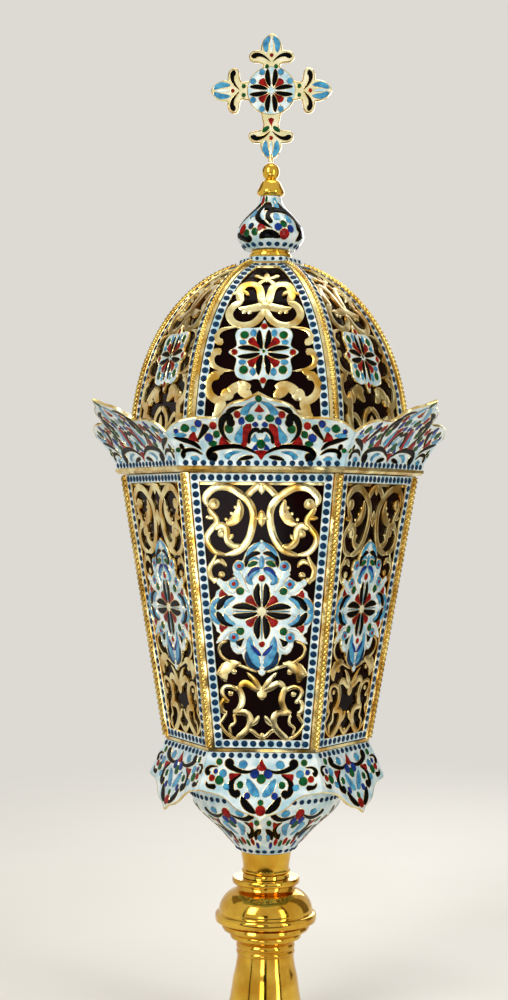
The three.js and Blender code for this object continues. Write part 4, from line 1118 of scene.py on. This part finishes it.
ribs = Work()
for face in range(SIDES):
    turn = face_turn(face)
    rings = []
    for v in spread(RIB_STEPS, 0, DOME_ARC):
        edge = half_width(dome_profile, v) - POST_COVER
        outer, inner = dome_spot(edge, v, POST_PROUD), dome_spot(edge, v, -RIB_DEPTH)
        ring = [
            outer, dome_corner(0, v, POST_PROUD), over_corner(outer),
            over_corner(inner), dome_corner(0, v, -RIB_DEPTH), inner,
        ]
        rings.append([turn @ point for point in ring])
    ribs.rings(rings, "gold")
six_sided(ribs, FOOT_RING, DOME_BASE, "gold")
six_sided(ribs, TOP_PLATE, DOME_TOP, "gold")
ribs.piece("gilt_dome_frame", "lantern", "gilt", ["dome_frame"])

# %% Dome collar
COLLAR_BASE = DOME_TOP + GAP
SLEEVE = [(PEG_HOLE, 0), (20.4, 0), (21, 0.5), (20.2, 3.4), (16.4, 4.3), (PEG_HOLE, 4.3)]
COLLAR_DOTS = [("m", "navy", "dot", 1.3, [(2.6, 1.5), (7.7, 1.5)])]

collar = Work()
six_sided(collar, SLEEVE, COLLAR_BASE, "white")
collar_spot = face_spot(Profile([(radius * FACE_SHARE, COLLAR_BASE + rise) for radius, rise in SLEEVE[2:4]]))
for face in range(SIDES):
    draw(collar, turned(collar_spot, face), (0, 0), COLLAR_DOTS, wire=False, lift=0.3)
collar.piece("enamel_dome_collar", "lantern", "enamel", ["dome_collar"])

# %% [markdown]
# ## Cross
#
# The plate is enamelled on both sides: a disc with a star of black petals, and
# four arms that end in lilies. A gilt edge runs round it.

# %% Cross sizes and drawing
FOOT_QUARTER = 2
NARROW_HALF = 0.02
RECESS = 0.3
PLATE_DEPTH = 2 * CROSS_HALF - 0.4
DISC_RADIUS = 15.8
DISC_LAYERS = ((0.05, -0.25), (1, -0.25), (1, -PLATE_DEPTH - 0.05), (0.05, -PLATE_DEPTH - 0.05))
ARM_WIRE, DISC_WIRE = 0.5, 0.45
ON_CROSS = {"lift": 0.15, "low": -0.5}
PEG = [(0, 574.72), (1.5, 574.72), (1.7, 576), (1.5, 578), (1.2, 580), (0, 580)]
ARM_HOOK = [
    (6.2, -19.2), (8.4, -18.4), (10.8, -18.2), (12.8, -17.7), (14.3, -16.4), (14.4, -14.2), (13, -12.1),
    (10.4, -11.3), (7.6, -11.1), (6.7, -10.6), (6.5, -8.2), (5.4, -5), (3.4, -2.2), (1.4, -0.6), (0, 0),
]


def lily(length, foot=False):
    """The outline of one arm, from the disc to its tip, pointing up."""
    neck = [(6.2, 9), (6.2, 14), (5.4, 19), (4.7, 22.5), (5.4, length - 19.5)] if foot else [
        (6.4, 9), (6.2, 13.5), (5.5, length - 22.5), (5.2, length - 20.6)]
    return neck + [(u, length + v) for u, v in ARM_HOOK]


ARMS = [(0, 37.4), (1, 39.75), (FOOT_QUARTER, 45.4), (3, 39.75)]
HOOKS = [
    ("m", "sky", "leaf", 2.2, [(1.1, -1.4), (3.7, -6), (3.6, -12.6)]),
    ("s", "red", "dot", 1.4, [(0, -14)]),
    ("s", "white", "leaf", 1.1, [(0, -2.4), (0, -12)]),
    ("m", "black", "comma", 2.1, [(0.8, -18.3), (3.6, -15.8), (6.6, -14.1), (9.6, -13.7), (11.6, -14.6),
        (12, -16.2)]),
]
NECK_DOTS = [("m", "green", "dot", 1.5, [(3, -21.4)])]
FOOT_LEAVES = [
    ("s", "red", "drop", 2, [(0, -21.2), (0, -27.4)]),
    ("m", "green", "leaf", 1.6, [(1.2, -21.6), (6, -18)]),
]
DISC_MOTIF = [
    ("q", "red", "drop", 2.7, [(1.6, 1.6), (7.6, 7.2)]),
    ("q", "black", "leaf", 1.9, [(2.5, 14.6), (2.5, 8.4), (1, 2.4)]),
    ("q", "black", "leaf", 1.75, [(14.4, 2.5), (8.5, 2.4), (2.4, 1)]),
    ("q", "sky", "dot", 2.2, [(6.2, 12.2), (12.2, 6.2)]),
    ("s", "white", "dot", 2.2, [(0, 0)]),
]


def cross_spot(side, quarter=0):
    """The front (side -1) or back (side 1) of the cross, turned so that an arm points up."""
    cos, sin = round(math.cos(quarter * math.pi / 2)), round(math.sin(quarter * math.pi / 2))

    def spot(u, v, h=0.0):
        across, up = u * cos + v * sin, v * cos - u * sin
        return Vector((-side * across, side * (CROSS_HALF + h), CROSS_CENTRE + up))
    return spot


# %% Cross
cross = Work()
for quarter, length in ARMS:
    line = [(max(u, 0.0), v) for u, v in smooth(lily(length, quarter == FOOT_QUARTER), 46)]
    left, right = ([(side * max(u, NARROW_HALF), v) for u, v in line] for side in (-1, 1))
    slab(cross, cross_spot(-1, quarter), left, right, -PLATE_DEPTH, -RECESS, "cream")
    for side in (-1, 1):
        spot = cross_spot(side, quarter)
        for mirror in (-1, 1):
            rim(cross, spot, [(mirror * u, v) for u, v in line], ARM_WIRE, -CROSS_HALF, 0)
        rows = HOOKS + (FOOT_LEAVES if quarter == FOOT_QUARTER else NECK_DOTS)
        draw(cross, spot, (0, length), rows, **ON_CROSS)
disc_edge = circle(DISC_RADIUS, 64)
layered(cross, cross_spot(-1), (0, 0), disc_edge, DISC_LAYERS, "white")
for side in (-1, 1):
    spot = cross_spot(side)
    rim(cross, spot, disc_edge, DISC_WIRE, -CROSS_HALF, 0, closed=True)
    draw(cross, spot, (0, 0), DISC_MOTIF, **ON_CROSS)
lathe(cross, PEG, "gold", segments=24)
cross.piece("enamel_cross", "lantern", "enamel", ["cross"])

# %% [markdown]
# ## Rows of dots and ropes
#
# Navy dots run along every border, and a gilt rope runs along each corner.
# Both are Geometry Nodes trees over plain lines: one puts a flat bead on the
# line at each pitch, facing out, and the other twists a lobed section along it.

# %% Lines
class Lines:
    """Open lines in mm with the direction that their beads face."""

    def __init__(self):
        self.points, self.facing, self.edges = [], [], []

    def add(self, spot, line, height=0.2):
        start = len(self.points)
        for u, v in line:
            self.points.append(spot(u, v, height))
            self.facing.append(spot(u, v, 1) - spot(u, v, 0))
        self.edges += [(start + i, start + i + 1) for i in range(len(line) - 1)]

    def carrier(self, name):
        """The lines as a mesh of edges."""
        mesh = bpy.data.meshes.new(name)
        mesh.from_pydata([p * MM for p in self.points], self.edges, [])
        facing = mesh.attributes.new("facing", "FLOAT_VECTOR", "POINT")
        facing.data.foreach_set("vector", [x for direction in self.facing for x in direction])
        return link(bpy.data.objects.new(name, mesh))


def straight(start, end, steps=40):
    """A line of (u, v) from start to end."""
    return [tuple(a + (b - a) * share for a, b in zip(start, end)) for share in spread(steps)]


# %% [markdown]
# Both trees start with the lines as curves, with a point at each spacing, and
# end in real, smooth and painted geometry.

# %% Start and end of a tree
def start_tree(name, spacing, inputs):
    """A tree with named inputs, and its lines with a point at each spacing."""
    tree = bpy.data.node_groups.new(name, "GeometryNodeTree")
    for label, kind in {"Geometry": "Geometry", **inputs, "Material": "Material"}.items():
        tree.interface.new_socket(label, in_out="INPUT", socket_type="NodeSocket" + kind)
    tree.interface.new_socket("Geometry", in_out="OUTPUT", socket_type="NodeSocketGeometry")
    given = add_node(tree, "NodeGroupInput")
    curve = add_node(tree, "GeometryNodeMeshToCurve", {"Mesh": given.outputs["Geometry"]})
    spaced = add_node(tree, "GeometryNodeResampleCurve", {
        "Curve": curve.outputs[0], "Length": given.outputs[spacing],
    }, mode="LENGTH")
    return tree, given, spaced


def end_tree(tree, given, made):
    real = add_node(tree, "GeometryNodeRealizeInstances", {"Geometry": made.outputs[0]})
    smoothed = add_node(tree, "GeometryNodeSetShadeSmooth", {"Geometry": real.outputs[0]})
    painted = add_node(tree, "GeometryNodeSetMaterial", {
        "Geometry": smoothed.outputs[0], "Material": given.outputs["Material"],
    })
    add_node(tree, "NodeGroupOutput", {"Geometry": painted.outputs[0]})
    return tree


# %% Tree of a dot row
def dot_tree():
    """Flat beads along lines: the line is spaced by Pitch and each bead faces out."""
    tree, given, spaced = start_tree("dot_row", "Pitch", {
        "Pitch": "Float", "Radius": "Float", "Height": "Float",
    })
    facing = add_node(tree, "GeometryNodeInputNamedAttribute", {"Name": "facing"}, data_type="FLOAT_VECTOR")
    faced = add_node(tree, "FunctionNodeAlignRotationToVector", {"Vector": facing.outputs[0]}, axis="Z")
    bead = add_node(tree, "GeometryNodeMeshUVSphere", {"Segments": 14, "Rings": 8, "Radius": 1.0})
    flat = add_node(tree, "ShaderNodeCombineXYZ", {
        "X": given.outputs["Radius"], "Y": given.outputs["Radius"], "Z": given.outputs["Height"],
    })
    placed = add_node(tree, "GeometryNodeInstanceOnPoints", {
        "Points": spaced.outputs[0], "Instance": bead.outputs["Mesh"], "Rotation": faced.outputs[0],
        "Scale": flat.outputs[0],
    })
    return end_tree(tree, given, placed)


# %% [markdown]
# The rope's section is a star with a soft waist between its strands. Its tilt
# grows by one turn in each lay, so the strands wind round the line.

# %% Tree of a rope
WAIST_SHARE = 0.62


def rope_tree():
    """A rope along lines: a lobed section turned once in each Lay."""
    tree, given, spaced = start_tree("rope", "Step", {
        "Lay": "Float", "Radius": "Float", "Strands": "Int", "Step": "Float",
    })
    along = add_node(tree, "GeometryNodeSplineParameter")
    turns = add_node(tree, "ShaderNodeMath", {
        0: along.outputs["Length"], 1: given.outputs["Lay"],
    }, operation="DIVIDE")
    angle = add_node(tree, "ShaderNodeMath", {0: turns.outputs[0], 1: 2 * math.pi}, operation="MULTIPLY")
    twisted = add_node(tree, "GeometryNodeSetCurveTilt", {
        "Curve": spaced.outputs[0], "Tilt": angle.outputs[0],
    })
    waist = add_node(tree, "ShaderNodeMath", {
        0: given.outputs["Radius"], 1: WAIST_SHARE,
    }, operation="MULTIPLY")
    section = add_node(tree, "GeometryNodeCurveStar", {
        "Points": given.outputs["Strands"], "Inner Radius": waist.outputs[0],
        "Outer Radius": given.outputs["Radius"],
    })
    rounded = add_node(tree, "GeometryNodeCurveSplineType", {
        "Curve": section.outputs[0],
    }, spline_type="CATMULL_ROM")
    lobes = add_node(tree, "GeometryNodeResampleCurve", {"Curve": rounded.outputs[0], "Count": 20})
    skin = add_node(tree, "GeometryNodeCurveToMesh", {
        "Curve": twisted.outputs[0], "Profile Curve": lobes.outputs[0], "Fill Caps": True,
    })
    return end_tree(tree, given, skin)


# %% Plain mesh from a tree
def grown(name, lines, tree, values, body):
    """The plain mesh that a tree makes from lines, as a piece of its own."""
    carrier = lines.carrier(name + "_lines")
    made_by = carrier.modifiers.new(tree.name, "NODES")
    made_by.node_group = tree
    for item in tree.interface.items_tree:
        if item.in_out == "INPUT" and item.name in values:
            made_by[item.identifier] = values[item.name]
    carrier.update_tag()
    bpy.context.view_layer.update()
    shown = carrier.evaluated_get(bpy.context.evaluated_depsgraph_get())
    mesh = bpy.data.meshes.new_from_object(shown)
    mesh.name = name
    carrier.modifiers.remove(made_by)
    bpy.data.objects.remove(carrier)
    piece = link(bpy.data.objects.new(name, mesh))
    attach(piece, body)
    print(name, len(mesh.polygons), "faces")
    return piece


# %% [markdown]
# The dots sit in the middle of each border, at a pitch of about 5 mm, and in
# rings round the bowl and the onion. The door's dots ride the door.

# %% Dot rows
PITCH = 5.15
FOOT_INSET, TOP_INSET = 5.1, 5.25
PETAL_DOT_ROWS = ((crown_spot, 1.75, 46.3), (skirt_spot, -1.85, 30))


def border_lines(lines, profile, low, high, face, steps):
    """The middle line of a border's four strips."""
    spot = turned(face_spot(profile), face)
    middle = BORDER / 2
    first, last = low + middle, high - middle
    for side in (-1, 1):
        lines.add(spot, [(side * (field_half(profile, v) - middle), v) for v in spread(steps, first, last)])
    for v, inset in ((first, FOOT_INSET), (last, TOP_INSET)):
        reach = field_half(profile, v) - middle - inset
        lines.add(spot, straight((-reach, v), (reach, v), 12))


def round_line(around, v, dots, steps):
    """A level line round the axis that stops one of its dots short of its start."""
    return straight((0, v), (around * (dots - 1) / dots, v), steps)


lantern_dots, door_dots, petal_dots, bowl_dots, onion_dots = (Lines() for _ in range(5))
for face in range(SIDES):
    on_body = door_dots if face == DOOR_FACE else lantern_dots
    border_lines(on_body, body_profile, BODY_LOW, BODY_HIGH, face, 40)
    border_lines(lantern_dots, dome_profile, DOME_LOW, DOME_HIGH, face, 80)
    for spot, v, reach in PETAL_DOT_ROWS:
        petal_dots.add(turned(spot, face), straight((-reach, v), (reach, v)))
bowl_dots.add(bowl_spot, round_line(BOWL_ROUND, 39.2, 64, 200))
bowl_dots.add(bowl_spot, round_line(BOWL_ROUND, 2.4, 28, 200))
onion_dots.add(onion_spot, round_line(ONION_ROUND, 2.1, 21, 120), 0.1)

DOT_ROWS = {
    "border_dots": (lantern_dots, 2.1, 0.66, "lantern"),
    "door_dots": (door_dots, 2.1, 0.66, "door"),
    "petal_dots": (petal_dots, 1.8, 0.66, "lantern"),
    "bowl_dots": (bowl_dots, 1.7, 0.66, "lantern"),
    "onion_dots": (onion_dots, 1.8, 0.55, "lantern"),
}
dots = dot_tree()
for name, (lines, radius, height, body) in DOT_ROWS.items():
    grown(name, lines, dots, {
        "Pitch": PITCH * MM, "Radius": radius * MM, "Height": height * MM, "Material": PAINTS["navy"],
    }, body)

# %% [markdown]
# A rope lies on each corner of the body and of the dome. On the rear corner the
# body's rope leaves room for the hinge.

# %% Corner ropes
HINGE_REACH = 36.5
ROPE_LOW, ROPE_HIGH = 2.6, BODY_SLOPE - 0.8
DOME_ROPE_LOW, DOME_ROPE_HIGH = 3.6, DOME_ARC - 1
body_corner = corner_spot(body_profile)

body_ropes, dome_ropes = Lines(), Lines()
for face in range(SIDES):
    spans = [(ROPE_LOW, ROPE_HIGH)]
    if face == DOOR_FACE:
        spans = [(ROPE_LOW, BODY_SLOPE / 2 - HINGE_REACH), (BODY_SLOPE / 2 + HINGE_REACH, ROPE_HIGH)]
    for low, high in spans:
        body_ropes.add(turned(body_corner, face), straight((0, low), (0, high), 60), 0.1)
    dome_ropes.add(turned(dome_corner, face), straight((0, DOME_ROPE_LOW), (0, DOME_ROPE_HIGH), 90), 0.25)
rope = rope_tree()
for name, ropes, radius, lay in (("body_ropes", body_ropes, 2.4, 14), ("dome_ropes", dome_ropes, 1.9, 12)):
    grown(name, ropes, rope, {
        "Lay": lay * MM, "Radius": radius * MM, "Strands": 4, "Step": 0.6 * MM, "Material": PAINTS["rope"],
    }, "lantern")

# %% [markdown]
# ## Finishes on the solids that stay
#
# The flat-sided frame, the cornice, the panes, the hinge and the nuts keep
# their solid shapes and take the new finishes.

# %% Solids that stay
STAYING = {
    "gold": [
        "body_frame", "cornice", "floor_plate", "door_frame", "door_hinge_leaf", "frame_hinge_leaf",
        "candle_cup", "door_knob",
    ],
    "ruby": ["door_glass"] + [f"body_glass_{i}" for i in (1, 2, 3, 5, 6)],
    "steel": ["hinge_pin", "tie_rod", "tie_nut", "finial_nut"],
}
for paint, nodes in STAYING.items():
    for node in nodes:
        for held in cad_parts[node].material_slots:
            held.material = PAINTS[paint]
    print(paint + ":", ", ".join(nodes))

# %% [markdown]
# ## Studio
#
# A pale floor and background, two soft boxes in front, one above and one behind,
# and a small low one for the skirt. Dark and dim cards that the camera doesn't
# see give the polished brass and the side faces something to reflect.

# %% Lights
LIGHTS = {
    "key_light": ((-0.75, -1.1, 1.0), (0, 0, 0.36), (0.5, 0.9), 11.5),
    "fill_light": ((0.95, -0.8, 0.45), (0, 0, 0.33), (0.35, 1.1), 5.6),
    "top_light": ((0.1, 0.1, 1.7), (0, 0, 0.3), (0.9, 0.9), 6.8),
    "low_light": ((-0.14, -1.0, 0.04), (-0.02, 0, 0.3), (0.22, 0.3), 0.9),
    "back_light": ((0.2, 1.3, 0.8), (0, 0, 0.35), (0.8, 0.8), 8),
}
for name, (place, target, size, power) in LIGHTS.items():
    data = bpy.data.lights.new(name, "AREA")
    data.shape = "RECTANGLE"
    data.size, data.size_y = size
    data.energy = power
    made = link(bpy.data.objects.new(name, data))
    made.location = place
    made.rotation_euler = (Vector(target) - Vector(place)).to_track_quat("-Z", "Y").to_euler()
    made.visible_camera = False
print("lights:", ", ".join(LIGHTS))

# %% [markdown]
# The floor fades out away from the lantern, so that it has no edge against the
# background.

# %% Floor and cards
FLOOR_SOLID, FLOOR_GONE = 0.35, 1.3
FLOOR_DROP = 0.6 * MM


def card_paint(name, light, dark, rough):
    return finish(name, light, dark, rough, drift=3, bump=0.01)


def card(name, place, size, turn, paint, seen=False):
    """A flat card that only reflections see, or the floor."""
    mesh = bpy.data.meshes.new(name)
    x, y = size[0] / 2, size[1] / 2
    mesh.from_pydata([(-x, -y, 0), (x, -y, 0), (x, y, 0), (-x, y, 0)], [], [(0, 1, 2, 3)])
    mesh.materials.append(paint)
    made = link(bpy.data.objects.new(name, mesh))
    made.location = place
    made.rotation_euler = turn
    made.visible_camera = made.visible_diffuse = made.visible_shadow = seen


floor_paint = card_paint("studio_floor", "#ece8e0", "#e8e4db", (0.6, 0.7))
floor_tree = floor_paint.node_tree
reach = add_node(floor_tree, "ShaderNodeVectorMath", {
    0: add_node(floor_tree, "ShaderNodeTexCoord").outputs["Object"],
}, operation="LENGTH")
fade = add_node(floor_tree, "ShaderNodeMapRange", {
    "Value": reach.outputs["Value"], "From Min": FLOOR_SOLID, "From Max": FLOOR_GONE,
}, interpolation_type="SMOOTHSTEP")
clear = add_node(floor_tree, "ShaderNodeBsdfTransparent")
mixed = add_node(floor_tree, "ShaderNodeMixShader", {
    "Fac": fade.outputs[0], 1: floor_tree.nodes["Principled BSDF"].outputs[0], 2: clear.outputs[0],
})
floor_tree.links.new(mixed.outputs[0], floor_tree.nodes["Material Output"].inputs["Surface"])
card("floor", (0, 0, -FLOOR_DROP), (4, 4), (0, 0, 0), floor_paint, seen=True)

dark_paint = card_paint("dark_card", "#0c0b0a", "#080807", (0.8, 0.9))
dim_paint = card_paint("dim_card", "#877d68", "#7c735f", (0.8, 0.9))
UPRIGHT_CARDS = {
    "dark_card_left": ((-0.62, -0.5, 0.4), (0.3, 1.1), 52, dark_paint),
    "dark_card_right": ((0.6, -0.42, 0.4), (0.26, 1.1), -55, dark_paint),
    "dark_card_front": ((0.06, -1.5, 0.2), (0.3, 0.6), 0, dark_paint),
    "dim_card_left": ((-0.86, 0.52, 1.1), (0.75, 0.8), 60, dim_paint),
    "dim_card_right": ((0.88, 0.5, 0.7), (0.5, 1.4), -60, dim_paint),
}
for name, (place, size, turn, paint) in UPRIGHT_CARDS.items():
    card(name, place, size, (math.radians(90), 0, math.radians(turn)), paint)
card("dark_card_low", (0, -0.37, 0.002), (0.9, 0.24), (0, 0, 0), dark_paint)

# %% World
SEEN_STRENGTH, LIGHTING_STRENGTH = 0.86, 0.38
world = bpy.data.worlds.new("studio")
bpy.context.scene.world = world
world.use_nodes = True
sky_tree = world.node_tree
backdrop = sky_tree.nodes["Background"]
path = add_node(sky_tree, "ShaderNodeLightPath")
seen = add_node(sky_tree, "ShaderNodeMath", {
    0: path.outputs["Is Camera Ray"], 1: path.outputs["Is Transmission Ray"],
}, operation="MAXIMUM")
mirrored = add_node(sky_tree, "ShaderNodeMath", {
    0: seen.outputs[0], 1: path.outputs["Is Glossy Ray"],
}, operation="MAXIMUM")
level = add_node(sky_tree, "ShaderNodeMapRange", {
    "Value": mirrored.outputs[0], "To Min": LIGHTING_STRENGTH, "To Max": SEEN_STRENGTH,
})
backdrop.inputs["Color"].default_value = linear("#ece9e2")
sky_tree.links.new(level.outputs[0], backdrop.inputs["Strength"])
